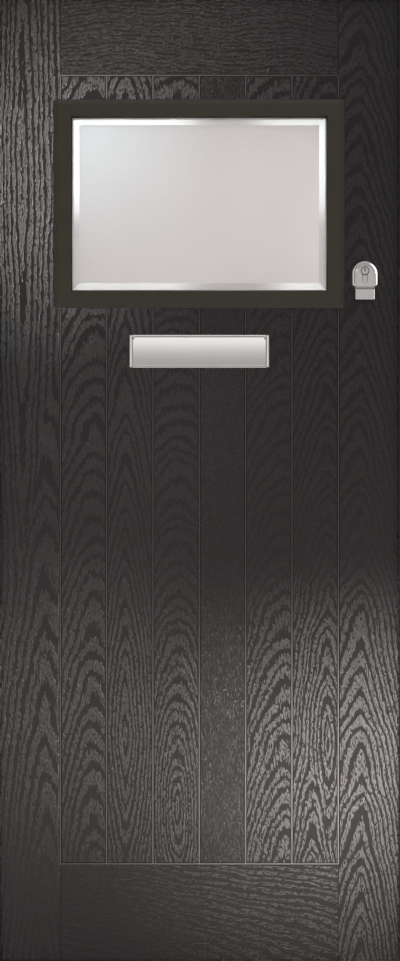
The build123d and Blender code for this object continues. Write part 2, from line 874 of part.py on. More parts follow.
def cassette_ring():
    """The outer cassette: a bevelled flange on the skin, a lip over the glass and a spigot round it."""
    with BuildPart() as ring:
        flange_width = glass_width + 2 * cassette_face
        flange_height = glass_height + 2 * cassette_face
        with BuildSketch(upright(leaf_front)):
            with Locations((0, glass_z)):
                RectangleRounded(flange_width, flange_height, cassette_corner)
        extrude(amount=cassette_edge)
        with BuildSketch(upright(leaf_front - cassette_edge)):
            with Locations((0, glass_z)):
                RectangleRounded(flange_width, flange_height, cassette_corner)
        with BuildSketch(upright(cassette_front)):
            with Locations((0, glass_z)):
                RectangleRounded(
                    flange_width - 2 * cassette_bevel,
                    flange_height - 2 * cassette_bevel,
                    cassette_inner_corner,
                )
        loft()
        with BuildSketch(upright(lip_front)):
            light_opening(glass_edge)
        extrude(amount=lip_front - leaf_front)
        with BuildSketch(upright(leaf_middle_y - cassette_gap / 2)):
            light_ring(spigot_reach, glass_edge)
        extrude(amount=leaf_middle_y - cassette_gap / 2 - leaf_front)
        with BuildSketch(upright(lip_front)):
            light_opening(0)
        extrude(amount=lip_front - cassette_front, mode=Mode.SUBTRACT)
        with BuildSketch(upright(cassette_front + sight_chamfer)):
            light_opening(0)
        with BuildSketch(upright(cassette_front)):
            light_opening(sight_chamfer)
        loft(mode=Mode.SUBTRACT)
    return ring.part


def cassette_screws_at(grow=0.0, mode=Mode.ADD):
    for x, z in cassette_screw_places:
        screw(
            (x, cassette_back, z), (0, -1, 0), cassette_screw_length, cassette_screw_radius,
            cassette_screw_head, grow, mode,
        )


cassette = cassette_ring()
with BuildPart() as outer_cassette:
    add(cassette)
    cassette_screws_at(pilot_clearance, Mode.SUBTRACT)
outer_cassette.part.label = "outer_cassette"
export_step(outer_cassette.part, "parts/outer_cassette.step")

with BuildPart() as inner_cassette:
    mirror(cassette, about=upright(leaf_middle_y))
    cassette_screws_at(pilot_clearance, Mode.SUBTRACT)
inner_cassette.part.label = "inner_cassette"
export_step(inner_cassette.part, "parts/inner_cassette.step")

with BuildPart() as cassette_screws:
    cassette_screws_at()
cassette_screws.part.label = "cassette_screws"
export_step(cassette_screws.part, "parts/cassette_screws.step")

with BuildPart() as bevelled_pane:
    with BuildSketch(upright(bevelled_back)):
        light_opening(glass_lap)
    extrude(amount=bevelled_pane_rim)
    with BuildSketch(upright(rim_front)):
        light_opening(bevel_hidden)
    with BuildSketch(upright(unit_front)):
        light_opening(-bevel_width)
    loft()
bevelled_pane.part.label = "bevelled_pane"
export_step(bevelled_pane.part, "parts/bevelled_pane.step")

with BuildPart() as inner_pane:
    with BuildSketch(upright(unit_back)):
        light_opening(glass_lap)
    extrude(amount=inner_pane_thickness)
inner_pane.part.label = "inner_pane"
export_step(inner_pane.part, "parts/inner_pane.step")

with BuildPart() as spacer_bar:
    with BuildSketch(upright(inner_pane_front)):
        light_ring(glass_lap - spacer_inset, glass_lap - spacer_inset - spacer_width)
    extrude(amount=inner_pane_front - bevelled_back)
spacer_bar.part.label = "spacer_bar"
export_step(spacer_bar.part, "parts/spacer_bar.step")

with BuildPart() as outer_gasket:
    with BuildSketch(upright(rim_front)):
        light_ring(glass_edge - glass_clearance, bevel_hidden + glass_clearance)
    extrude(amount=rim_front - unit_front)
    with BuildSketch(upright(unit_front)):
        light_ring(glass_edge - glass_clearance, -gasket_reach)
    extrude(amount=gasket_lip)
outer_gasket.part.label = "outer_gasket"
export_step(outer_gasket.part, "parts/outer_gasket.step")

with BuildPart() as inner_gasket:
    with BuildSketch(upright(lip_back)):
        light_ring(glass_edge - glass_clearance, -gasket_reach)
    extrude(amount=gasket_lip)
inner_gasket.part.label = "inner_gasket"
export_step(inner_gasket.part, "parts/inner_gasket.step")

with BuildPart() as glazing_packers:
    with BuildSketch(upright(unit_back)):
        with Locations((0, glass_z - glass_height / 2 - glass_lap - glass_clearance / 2)):
            with GridLocations(packer_spacing, 0, 2, 1):
                Rectangle(packer_width, glass_clearance)
    extrude(amount=unit_thickness)
glazing_packers.part.label = "glazing_packers"
export_step(glazing_packers.part, "parts/glazing_packers.step")

# Letterplate


def letter_frame():
    """The letterplate's frame on the street side, with its end caps and the rib above the flap."""
    with BuildPart() as frame:
        with BuildSketch(upright(leaf_front)):
            with Locations((0, plate_z)):
                Rectangle(plate_width, plate_height)
                Rectangle(slot_width, slot_height, mode=Mode.SUBTRACT)
        extrude(amount=plate_thickness)
        cap_middle = (plate_width - end_cap_width) / 2
        with BuildSketch(upright(leaf_front)):
            with Locations((-cap_middle, plate_z), (cap_middle, plate_z)):
                Rectangle(end_cap_width, plate_height)
        extrude(amount=end_cap_reach)
        fillet(frame.faces().sort_by(Axis.Y)[:2].edges(), end_cap_round)
        with BuildSketch(upright(leaf_front)):
            with Locations((0, plate_z + (plate_height - top_rib_height) / 2)):
                Rectangle(plate_width - 2 * end_cap_width, top_rib_height)
        extrude(amount=top_rib_reach)
        pin_half = flap_half_width + flap_side_gap + flap_pin_seat
        with BuildSketch(Plane.YZ.offset(-pin_half)):
            with Locations((flap_pivot_y, flap_pivot_z)):
                Circle(flap_pin_radius + flap_pin_clearance)
        extrude(amount=2 * pin_half, mode=Mode.SUBTRACT)
    return frame.part


def letter_flap():
    """The pillowed flap on the street side, hung from a pin along its top."""
    flap_foot_y = plate_front - flap_back_gap - flap_thickness
    flap_head_y = flap_pivot_y - knuckle_radius
    middle_y = (flap_foot_y + flap_head_y) / 2 - flap_bulge
    middle_z = (flap_foot_z + flap_pivot_z) / 2
    with BuildPart() as flap:
        with BuildSketch(Plane.YZ.offset(-flap_half_width)):
            with BuildLine():
                front = ThreePointArc(
                    (flap_head_y, flap_pivot_z), (middle_y, middle_z), (flap_foot_y, flap_foot_z)
                )
                back = ThreePointArc(
                    (flap_head_y + flap_thickness, flap_pivot_z),
                    (middle_y + flap_thickness, middle_z),
                    (flap_foot_y + flap_thickness, flap_foot_z),
                )
                Line(front @ 0, back @ 0)
                Line(front @ 1, back @ 1)
            make_face()
            with Locations((flap_pivot_y, flap_pivot_z)):
                Circle(knuckle_radius)
            with Locations((flap_foot_y + flap_thickness - flap_lip_radius, flap_foot_z + flap_lip_radius)):
                Circle(flap_lip_radius)
            with Locations((flap_pivot_y, flap_pivot_z)):
                Circle(flap_pin_radius + flap_pin_clearance, mode=Mode.SUBTRACT)
        extrude(amount=2 * flap_half_width)
        notch_x = flap_half_width - flap_notch_width / 2
        with BuildSketch(upright(plate_front)):
            with Locations((-notch_x, flap_pivot_z), (notch_x, flap_pivot_z)):
                Rectangle(flap_notch_width, 2 * flap_notch_depth)
        extrude(amount=end_cap_reach, mode=Mode.SUBTRACT)
    return flap.part


frame_shape = letter_frame()
with BuildPart() as letterplate_frame:
    add(frame_shape)
    with BuildSketch(upright(leaf_front)):
        with Locations(*[(x, plate_z) for x in plate_bolt_xs]):
            Circle(plate_boss_radius)
    extrude(amount=-plate_boss_depth)
    with BuildSketch(upright(leaf_front + plate_boss_depth)):
        with Locations(*[(x, plate_z) for x in plate_bolt_xs]):
            Circle(plate_bolt_radius + pilot_clearance)
    extrude(amount=plate_boss_depth + plate_thickness / 2, mode=Mode.SUBTRACT)
letterplate_frame.part.label = "letterplate_frame"
export_step(letterplate_frame.part, "parts/letterplate_frame.step")

plate_bolt_length = plate_back - leaf_front


def plate_bolts_at(grow=0.0, mode=Mode.ADD):
    for x in plate_bolt_xs:
        screw(
            (x, plate_back, plate_z), (0, -1, 0), plate_bolt_length, plate_bolt_radius,
            plate_bolt_head, grow, mode,
        )


with BuildPart() as inner_letter_frame:
    mirror(frame_shape, about=upright(leaf_middle_y))
    plate_bolts_at(pilot_clearance, Mode.SUBTRACT)
inner_letter_frame.part.label = "inner_letter_frame"
export_step(inner_letter_frame.part, "parts/inner_letter_frame.step")

with BuildPart() as letterplate_bolts:
    plate_bolts_at()
letterplate_bolts.part.label = "letterplate_bolts"
export_step(letterplate_bolts.part, "parts/letterplate_bolts.step")

flap_shape = letter_flap()
with BuildPart() as letterplate_flap:
    add(flap_shape)
letterplate_flap.part.label = "letterplate_flap"
export_step(letterplate_flap.part, "parts/letterplate_flap.step")

with BuildPart() as inner_letter_flap:
    mirror(flap_shape, about=upright(leaf_middle_y))
inner_letter_flap.part.label = "inner_letter_flap"
export_step(inner_letter_flap.part, "parts/inner_letter_flap.step")

with BuildPart() as flap_pins:
    pin_half = flap_half_width + flap_side_gap + flap_pin_seat
    with BuildSketch(Plane.YZ.offset(-pin_half)):
        inner_pivot_y = 2 * leaf_middle_y - flap_pivot_y
        with Locations((flap_pivot_y, flap_pivot_z), (inner_pivot_y, flap_pivot_z)):
            Circle(flap_pin_radius)
    extrude(amount=2 * pin_half)
flap_pins.part.label = "flap_pins"
export_step(flap_pins.part, "parts/flap_pins.step")

with BuildPart() as letter_tunnel:
    with BuildSketch(upright(leaf_back)):
        with Locations((0, plate_z)):
            Rectangle(slot_width + 2 * tunnel_wall, slot_height + 2 * tunnel_wall)
            Rectangle(slot_width, slot_height, mode=Mode.SUBTRACT)
    extrude(amount=leaf_thickness)
letter_tunnel.part.label = "letter_tunnel"
export_step(letter_tunnel.part, "parts/letter_tunnel.step")

# Cylinder, pull and thumbturn

with BuildPart() as cylinder_body:
    with BuildSketch(upright(cylinder_back)):
        keyhole(0)
    extrude(amount=cylinder_back - cylinder_front)
    with BuildSketch(upright(cam_back)):
        span(
            lock_x - cylinder_head_radius - cam_slot_margin,
            lock_x + cylinder_head_radius + cam_slot_margin,
            lock_z - cam_reach - cam_bridge_gap,
            lock_z + cylinder_head_radius + cam_slot_margin,
        )
    extrude(amount=cam_width, mode=Mode.SUBTRACT)
    with BuildSketch(upright(cylinder_back)):
        with Locations((lock_x, lock_z)):
            Circle(plug_radius + plug_clearance)
    extrude(amount=cylinder_back - cylinder_front, mode=Mode.SUBTRACT)
    edge_screws_at(pilot_clearance, Mode.SUBTRACT)
cylinder_body.part.label = "cylinder_body"
export_step(cylinder_body.part, "parts/cylinder_body.step")

with BuildPart() as cylinder_plug:
    with BuildSketch(upright(cam_front + cam_clearance)):
        with Locations((lock_x, lock_z)):
            Circle(plug_radius)
    extrude(amount=cam_front + cam_clearance - cylinder_front)
    with BuildSketch(upright(leaf_middle_y)):
        with Locations((lock_x, lock_z)):
            Circle(spindle_radius)
    extrude(amount=leaf_middle_y - cam_front - cam_clearance)
    with BuildSketch(upright(cylinder_front)):
        with Locations((lock_x, lock_z + keyway_height / 2 - keyway_width / 2)):
            Rectangle(keyway_width, keyway_height)
    extrude(amount=-keyway_depth, mode=Mode.SUBTRACT)
cylinder_plug.part.label = "cylinder_plug"
export_step(cylinder_plug.part, "parts/cylinder_plug.step")

with BuildPart() as cylinder_cam:
    with BuildSketch(upright(cam_back - cam_clearance)):
        with Locations((lock_x, lock_z)):
            Circle(cam_radius)
        span(lock_x - cam_tooth_width / 2, lock_x + cam_tooth_width / 2, lock_z - cam_reach, lock_z)
        with Locations((lock_x, lock_z)):
            Circle(spindle_radius + spindle_clearance, mode=Mode.SUBTRACT)
    extrude(amount=cam_width - 2 * cam_clearance)
cylinder_cam.part.label = "cylinder_cam"
export_step(cylinder_cam.part, "parts/cylinder_cam.step")

with BuildPart() as thumbturn:
    with BuildSketch(upright(cylinder_back + turn_gap)):
        with Locations((lock_x, lock_z)):
            Circle(plug_radius)
    extrude(amount=cylinder_back + turn_gap - cam_back + cam_clearance)
    with BuildSketch(upright(cam_back - cam_clearance)):
        with Locations((lock_x, lock_z)):
            Circle(spindle_radius)
    extrude(amount=cam_back - cam_clearance - leaf_middle_y)
    with BuildSketch(upright(cylinder_back + turn_gap)):
        with Locations((lock_x, lock_z)):
            Circle(turn_collar_radius)
    extrude(amount=-turn_collar_length)
    with BuildSketch(upright(cylinder_back + turn_gap + turn_collar_length)):
        with Locations((lock_x, lock_z)):
            RectangleRounded(turn_grip_thickness, turn_grip_width, turn_grip_thickness * 0.45)
    extrude(amount=-turn_grip_length)
    fillet(thumbturn.faces().sort_by(Axis.Y)[-1].edges(), turn_grip_round)
thumbturn.part.label = "thumbturn"
export_step(thumbturn.part, "parts/thumbturn.step")

groove_top = lock_z - tab_groove_drop
pull_foot = lock_z - pull_body_drop
tab_foot = lock_z - pull_drop
groove_foot = groove_top - tab_groove_height
tab_root_y = pull_front + pull_recess + tab_groove_depth
tab_foot_y = tab_root_y - tab_flare


def sink_arch(width, slant, from_y, to_y):
    """Cuts the pull's face down between two arches, the deeper one narrower by a slant on each side."""
    with BuildSketch(upright(from_y)) as wide:
        pull_arch(width, groove_top)
    with BuildSketch(upright(to_y)) as narrow:
        pull_arch(width - 2 * slant, groove_top)
    loft([wide.sketch, narrow.sketch], ruled=True, mode=Mode.SUBTRACT)


with BuildPart() as pull_tab:
    with BuildSketch(Plane.YZ.offset(lock_x - pull_face_width / 2)):
        with BuildLine():
            Polyline(
                (pull_front + pull_recess + tab_bury, groove_top + tab_bury),
                (tab_root_y, groove_foot),
                (tab_foot_y + tab_lean, groove_foot),
                (tab_foot_y, tab_foot),
                (tab_foot_y + tab_thickness, tab_foot),
                (tab_foot_y + tab_lean + tab_thickness, groove_foot - tab_thickness),
                (tab_root_y + tab_thickness, groove_foot - tab_thickness),
                (tab_root_y + tab_thickness, groove_top + tab_bury),
                close=True,
            )
        make_face()
    extrude(amount=pull_face_width)
    fillet(pull_tab.faces().sort_by(Axis.Y)[0].edges(), tab_round)

with BuildPart() as cylinder_pull:
    with BuildSketch(upright(leaf_front)):
        pull_arch(pull_width, pull_foot)
    extrude(amount=pull_projection)
    fillet(cylinder_pull.edges().filter_by(Axis.Y).sort_by(Axis.Z)[:2], pull_foot_radius)
    fillet(cylinder_pull.faces().sort_by(Axis.Y)[0].edges(), pull_rim_radius)
    with BuildSketch(upright(leaf_front)):
        pull_arch(pull_width - 2 * pull_wall, pull_foot + pull_wall)
    extrude(amount=pull_projection - pull_recess - pull_wall, mode=Mode.SUBTRACT)
    with BuildSketch(upright(leaf_front)):
        keyhole(cylinder_clearance + pull_wall)
        with Locations(*[(x, pull_arch_z) for x in through_bolt_xs]):
            Circle(boss_radius)
    extrude(amount=pull_projection - pull_recess - pull_wall)
    # The face sinks in two slanted steps inside the rim
    sink_arch(pull_face_width, pull_step_width, pull_front, pull_front + pull_step)
    lip_width = pull_face_width - 2 * (pull_step_width + pull_ledge)
    sink_arch(lip_width, pull_lip_width, pull_front + pull_step, pull_front + pull_recess)
    # A deep groove parts the face from the finger tab below it
    with BuildSketch(upright(pull_front)):
        span(lock_x - pull_face_width / 2, lock_x + pull_face_width / 2, pull_foot, groove_top)
    extrude(amount=-(pull_recess + tab_groove_depth), mode=Mode.SUBTRACT)
    add(pull_tab.part)
    with BuildSketch(upright(leaf_front)):
        keyhole(cylinder_clearance)
    extrude(amount=pull_projection, mode=Mode.SUBTRACT)
    with BuildSketch(upright(leaf_front)):
        with Locations(*[(x, pull_arch_z) for x in through_bolt_xs]):
            Circle(through_bolt_radius + pilot_clearance)
    extrude(amount=through_bolt_end + bolt_hole_end, mode=Mode.SUBTRACT)
cylinder_pull.part.label = "cylinder_pull"
export_step(cylinder_pull.part, "parts/cylinder_pull.step")


def pull_bolts_at(grow=0.0, mode=Mode.ADD):
    for x in through_bolt_xs:
        screw(
            (x, escutcheon_back, pull_arch_z), (0, -1, 0), escutcheon_back - leaf_front + through_bolt_end,
            through_bolt_radius, through_bolt_head, grow, mode,
        )


with BuildPart() as pull_bolts:
    pull_bolts_at()
pull_bolts.part.label = "pull_bolts"
export_step(pull_bolts.part, "parts/pull_bolts.step")

with BuildPart() as inner_escutcheon:
    with BuildSketch(upright(leaf_back)):
        with Locations((lock_x, pull_arch_z)):
            RectangleRounded(pull_width, 2 * escutcheon_drop, pull_width * 0.49)
    extrude(amount=-escutcheon_thickness)
    fillet(inner_escutcheon.faces().sort_by(Axis.Y)[-1].edges(), escutcheon_round)
    with BuildSketch(upright(leaf_back)):
        keyhole(cylinder_clearance)
    extrude(amount=-escutcheon_thickness, mode=Mode.SUBTRACT)
    pull_bolts_at(pilot_clearance, Mode.SUBTRACT)
inner_escutcheon.part.label = "inner_escutcheon"
export_step(inner_escutcheon.part, "parts/inner_escutcheon.step")

# Lock

with BuildPart() as faceplate:
    with BuildSketch(Plane.YZ.offset(faceplate_back)):
        span(
            leaf_middle_y - faceplate_width / 2,
            leaf_middle_y + faceplate_width / 2,
            faceplate_foot,
            faceplate_top,
        )
        span(
            leaf_middle_y - latch_thickness / 2 - latch_clearance,
            leaf_middle_y + latch_thickness / 2 + latch_clearance,
            latch_z - latch_height / 2 - latch_clearance,
            latch_z + latch_height / 2 + latch_clearance,
            Mode.SUBTRACT,
        )
        for window in hook_windows.values():
            span(leaf_middle_y - hook_half, leaf_middle_y + hook_half, window[0], window[1], Mode.SUBTRACT)
    extrude(amount=faceplate_thickness)
    edge_screws_at(pilot_clearance, Mode.SUBTRACT)
faceplate.part.label = "faceplate"
export_step(faceplate.part, "parts/faceplate.step")

with BuildPart() as edge_screws:
    edge_screws_at()
edge_screws.part.label = "edge_screws"
export_step(edge_screws.part, "parts/edge_screws.step")


def lock_box(depth, z_low, z_high):
    """A lock case in the current part: a box open towards the faceplate."""
    edge_pocket(faceplate_back - depth, z_low, z_high, case_half)
    edge_pocket(
        faceplate_back - depth + case_wall,
        z_low + case_wall,
        z_high - case_wall,
        case_half - case_wall,
        Mode.SUBTRACT,
    )
    edge_pocket(rod_back - rod_clearance, z_low, z_high, rod_width / 2 + rod_clearance, Mode.SUBTRACT)


with BuildPart() as lock_case:
    lock_box(case_depth, case_foot, case_top)
    with BuildSketch(upright(leaf_back)):
        keyhole(cylinder_clearance)
        with Locations(*[(x, pull_arch_z) for x in through_bolt_xs]):
            Circle(through_bolt_radius + through_bolt_clearance)
    extrude(amount=leaf_thickness, mode=Mode.SUBTRACT)
    # Two pairs of ribs guide the latch bolt
    for z in (latch_z - latch_height / 2, latch_z + latch_height / 2):
        side = 1 if z > latch_z else -1
        with BuildSketch(upright(leaf_middle_y + case_half)):
            span(
                leaf_x - latch_length,
                faceplate_back,
                min(z + side * latch_clearance, z + side * (latch_clearance + 2 * case_wall)),
                max(z + side * latch_clearance, z + side * (latch_clearance + 2 * case_wall)),
            )
        extrude(amount=case_thickness)
        edge_pocket(
            rod_back - rod_clearance, case_foot, case_top, rod_width / 2 + rod_clearance, Mode.SUBTRACT
        )
lock_case.part.label = "lock_case"
export_step(lock_case.part, "parts/lock_case.step")

with BuildPart() as hook_cases:
    for hook_z in hook_places.values():
        lock_box(hook_case_depth, hook_z - hook_case_height / 2, hook_z + hook_case_height / 2)
        with BuildSketch(upright(leaf_middle_y + case_half)):
            with Locations((hook_pivot_x, hook_z - hook_pivot_drop)):
                Circle(hook_pin_radius)
        extrude(amount=case_thickness)
hook_cases.part.label = "hook_cases"
export_step(hook_cases.part, "parts/hook_cases.step")

with BuildPart() as latch_bolt:
    with BuildSketch(Plane.XY.offset(latch_z - latch_height / 2)):
        latch_low = leaf_middle_y - latch_thickness / 2
        latch_high = leaf_middle_y + latch_thickness / 2
        Polygon(
            (leaf_x - latch_length, latch_low),
            (leaf_x - latch_bevel, latch_low),
            (leaf_x, latch_low + latch_bevel),
            (leaf_x, latch_high),
            (leaf_x - latch_length, latch_high),
            align=None,
        )
    extrude(amount=latch_height)
latch_bolt.part.label = "latch_bolt"
export_step(latch_bolt.part, "parts/latch_bolt.step")

hook_shapes = {}
for place, hook_z in hook_places.items():
    pivot_z = hook_z - hook_pivot_drop
    with BuildPart() as hook:
        with BuildSketch(upright(leaf_middle_y + hook_thickness / 2)):
            with Locations((hook_pivot_x, pivot_z)):
                Circle(hook_arm_width / 2)
            span(
                hook_pivot_x - hook_arm_width / 2,
                hook_pivot_x + hook_arm_width / 2,
                pivot_z,
                pivot_z + hook_length,
            )
            span(
                hook_pivot_x - hook_nib_reach,
                hook_pivot_x,
                pivot_z + hook_length - hook_nib_length,
                pivot_z + hook_length,
            )
            with Locations((hook_pivot_x, pivot_z)):
                Circle(hook_pin_radius + hook_pin_clearance, mode=Mode.SUBTRACT)
        extrude(amount=hook_thickness)
    hook.part.label = f"{place}_hook"
    export_step(hook.part, f"parts/{place}_hook.step")

# The rods push the hooks: the upper one rises and the lower one drops as the lock is thrown
rod_ways = {"upper": -1, "lower": 1}  # which way each slot runs from its screw
rod_stop = hook_clearance + rod_travel
rod_spans = {
    "upper": (case_top - rod_overlap, hook_windows["upper"][0] - rod_stop),
    "lower": (hook_windows["lower"][1] + rod_stop, case_foot + rod_overlap),
}
for place, (rod_low, rod_high) in rod_spans.items():
    with BuildPart() as rod:
        with BuildSketch(Plane.YZ.offset(rod_back)):
            span(leaf_middle_y - rod_width / 2, leaf_middle_y + rod_width / 2, rod_low, rod_high)
            slot_half = wood_screw_radius + rod_clearance
            slot_ends = (rod_screw_zs[place], rod_screw_zs[place] + rod_ways[place] * rod_travel)
            span(
                leaf_middle_y - slot_half,
                leaf_middle_y + slot_half,
                min(slot_ends) - slot_half,
                max(slot_ends) + slot_half,
                Mode.SUBTRACT,
            )
        extrude(amount=rod_thickness)
    rod.part.label = f"{place}_rod"
    export_step(rod.part, f"parts/{place}_rod.step")

# Hinges


def knuckle(side, z_low, z_high):
    """A hinge knuckle with its web down to the plate. side is -1 on the frame and 1 on the leaf."""
    with BuildSketch(Plane.XY.offset(z_low)) as shape:
        with Locations((hinge_x, hinge_y)):
            Circle(hinge_radius)
        low_x, high_x = sorted((hinge_x, hinge_x + side * hinge_radius))
        span(low_x, high_x, leaf_back, hinge_y)
    extrude(shape.sketch, amount=z_high - z_low)


def hinge_plate(side, width, z_low, z_high):
    """A hinge plate on the inner face, clear of the barrel."""
    near = hinge_x + side * (hinge_radius + hinge_plate_clearance)
    low_x, high_x = sorted((near, hinge_x + side * width))
    with BuildSketch(Plane.XY.offset(z_low)) as shape:
        span(low_x, high_x, leaf_back, hinge_plate_back)
    extrude(shape.sketch, amount=z_high - z_low)


def plate_neck(side, z_low, z_high):
    """Joins a knuckle to its plate."""
    low_x, high_x = sorted((hinge_x, hinge_x + side * (hinge_radius + hinge_plate_clearance)))
    with BuildSketch(Plane.XY.offset(z_low)) as shape:
        span(low_x, high_x, leaf_back, hinge_plate_back)
    extrude(shape.sketch, amount=z_high - z_low)


def pin_hole():
    with BuildSketch(Plane.XY) as shape:
        with Locations((hinge_x, hinge_y)):
            Circle(hinge_pin_radius + hinge_pin_clearance)
    extrude(shape.sketch, amount=outer_top, mode=Mode.SUBTRACT)


for place, hinge_z in hinge_places.items():
    low_z = hinge_z - hinge_length / 2
    high_z = hinge_z + hinge_length / 2
    leaf_low = hinge_z - hinge_leaf_knuckle / 2
    leaf_high = hinge_z + hinge_leaf_knuckle / 2

    with BuildPart() as frame_plate:
        hinge_plate(-1, hinge_frame_plate_width, low_z, high_z)
        for knuckle_low, knuckle_high in ((low_z, leaf_low - hinge_gap), (leaf_high + hinge_gap, high_z)):
            knuckle(-1, knuckle_low, knuckle_high)
            plate_neck(-1, knuckle_low, knuckle_high)
        pin_hole()
        for x, z in frame_screw_places:
            screw(
                (x, hinge_plate_back, z), (0, -1, 0), wood_screw_length, wood_screw_radius,
                wood_screw_head, pilot_clearance, Mode.SUBTRACT,
            )
    frame_plate.part.label = f"{place}_hinge_frame_plate"
    export_step(frame_plate.part, f"parts/{place}_hinge_frame_plate.step")

    with BuildPart() as leaf_plate:
        hinge_plate(1, hinge_leaf_plate_width, low_z, high_z)
        knuckle(1, leaf_low, leaf_high)
        plate_neck(1, leaf_low, leaf_high)
        pin_hole()
        leaf_hinge_screws(pilot_clearance, Mode.SUBTRACT)
    leaf_plate.part.label = f"{place}_hinge_leaf_plate"
    export_step(leaf_plate.part, f"parts/{place}_hinge_leaf_plate.step")

with BuildPart() as hinge_pins:
    for hinge_z in hinge_places.values():
        low_z = hinge_z - hinge_length / 2
        with BuildSketch(Plane.XY.offset(low_z)):
            with Locations((hinge_x, hinge_y)):
                Circle(hinge_pin_radius)
        extrude(amount=hinge_length)
        for cap_z in (low_z - hinge_cap_height, low_z + hinge_length):
            with BuildSketch(Plane.XY.offset(cap_z)):
                with Locations((hinge_x, hinge_y)):
                    Circle(hinge_radius)
            extrude(amount=hinge_cap_height)
hinge_pins.part.label = "hinge_pins"
export_step(hinge_pins.part, "parts/hinge_pins.step")

with BuildPart() as hinge_frame_screws:
    for x, z in frame_screw_places:
        screw(
            (x, hinge_plate_back, z), (0, -1, 0), wood_screw_length, wood_screw_radius, wood_screw_head
        )
hinge_frame_screws.part.label = "hinge_frame_screws"
export_step(hinge_frame_screws.part, "parts/hinge_frame_screws.step")

with BuildPart() as hinge_leaf_screws:
    leaf_hinge_screws()
hinge_leaf_screws.part.label = "hinge_leaf_screws"
export_step(hinge_leaf_screws.part, "parts/hinge_leaf_screws.step")
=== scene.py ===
"""Looks of the panelled front door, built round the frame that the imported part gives.

The moulded skins become separate grained boards, every other piece gets its finish, and a plain stage with
studio lights and a camera stands in front. X runs from the hinges to the lock, Y from the street into the
room, and Z is up. Lengths are in metres. The patterns in the finishes are worked out in millimetres.
"""

import math

import bpy
import numpy as np
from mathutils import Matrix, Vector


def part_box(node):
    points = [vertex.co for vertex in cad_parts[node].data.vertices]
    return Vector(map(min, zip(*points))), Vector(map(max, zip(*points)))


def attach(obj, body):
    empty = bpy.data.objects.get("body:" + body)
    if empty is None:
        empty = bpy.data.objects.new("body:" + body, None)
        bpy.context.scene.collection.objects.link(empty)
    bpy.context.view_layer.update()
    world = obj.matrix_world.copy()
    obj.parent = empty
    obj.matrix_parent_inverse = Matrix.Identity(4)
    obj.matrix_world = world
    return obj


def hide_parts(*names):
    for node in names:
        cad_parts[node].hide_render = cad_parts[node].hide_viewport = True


bl_info = {
    "name": "Panelled front door",
    "version": (1, 0, 0),
    "blender": (4, 5, 0),
    "location": "View3D > Sidebar > Front door",
    "description": "Dresses the panelled front door and sets its stage",
    "category": "Object",
}

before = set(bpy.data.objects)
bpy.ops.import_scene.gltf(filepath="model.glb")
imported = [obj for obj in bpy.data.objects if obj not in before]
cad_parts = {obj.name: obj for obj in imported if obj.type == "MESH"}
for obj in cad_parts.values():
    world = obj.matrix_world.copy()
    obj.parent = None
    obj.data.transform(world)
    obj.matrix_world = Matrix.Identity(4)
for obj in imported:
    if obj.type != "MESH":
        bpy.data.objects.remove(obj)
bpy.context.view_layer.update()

MM = 0.001
SKIN_LOW, SKIN_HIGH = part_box("outer_skin")
ROOM_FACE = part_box("inner_skin")[1][1]
CASSETTE_LOW, CASSETTE_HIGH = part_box("outer_cassette")
TUNNEL_LOW, TUNNEL_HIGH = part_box("letter_tunnel")
BODY_LOW, BODY_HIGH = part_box("cylinder_body")
BOLTS_LOW, BOLTS_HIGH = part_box("pull_bolts")
PANE_LOW, PANE_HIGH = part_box("bevelled_pane")
SIGHT_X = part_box("lock_stop")[0][0]
SIGHT_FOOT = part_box("threshold")[1][2]
SIGHT_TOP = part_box("head_stop")[0][2]


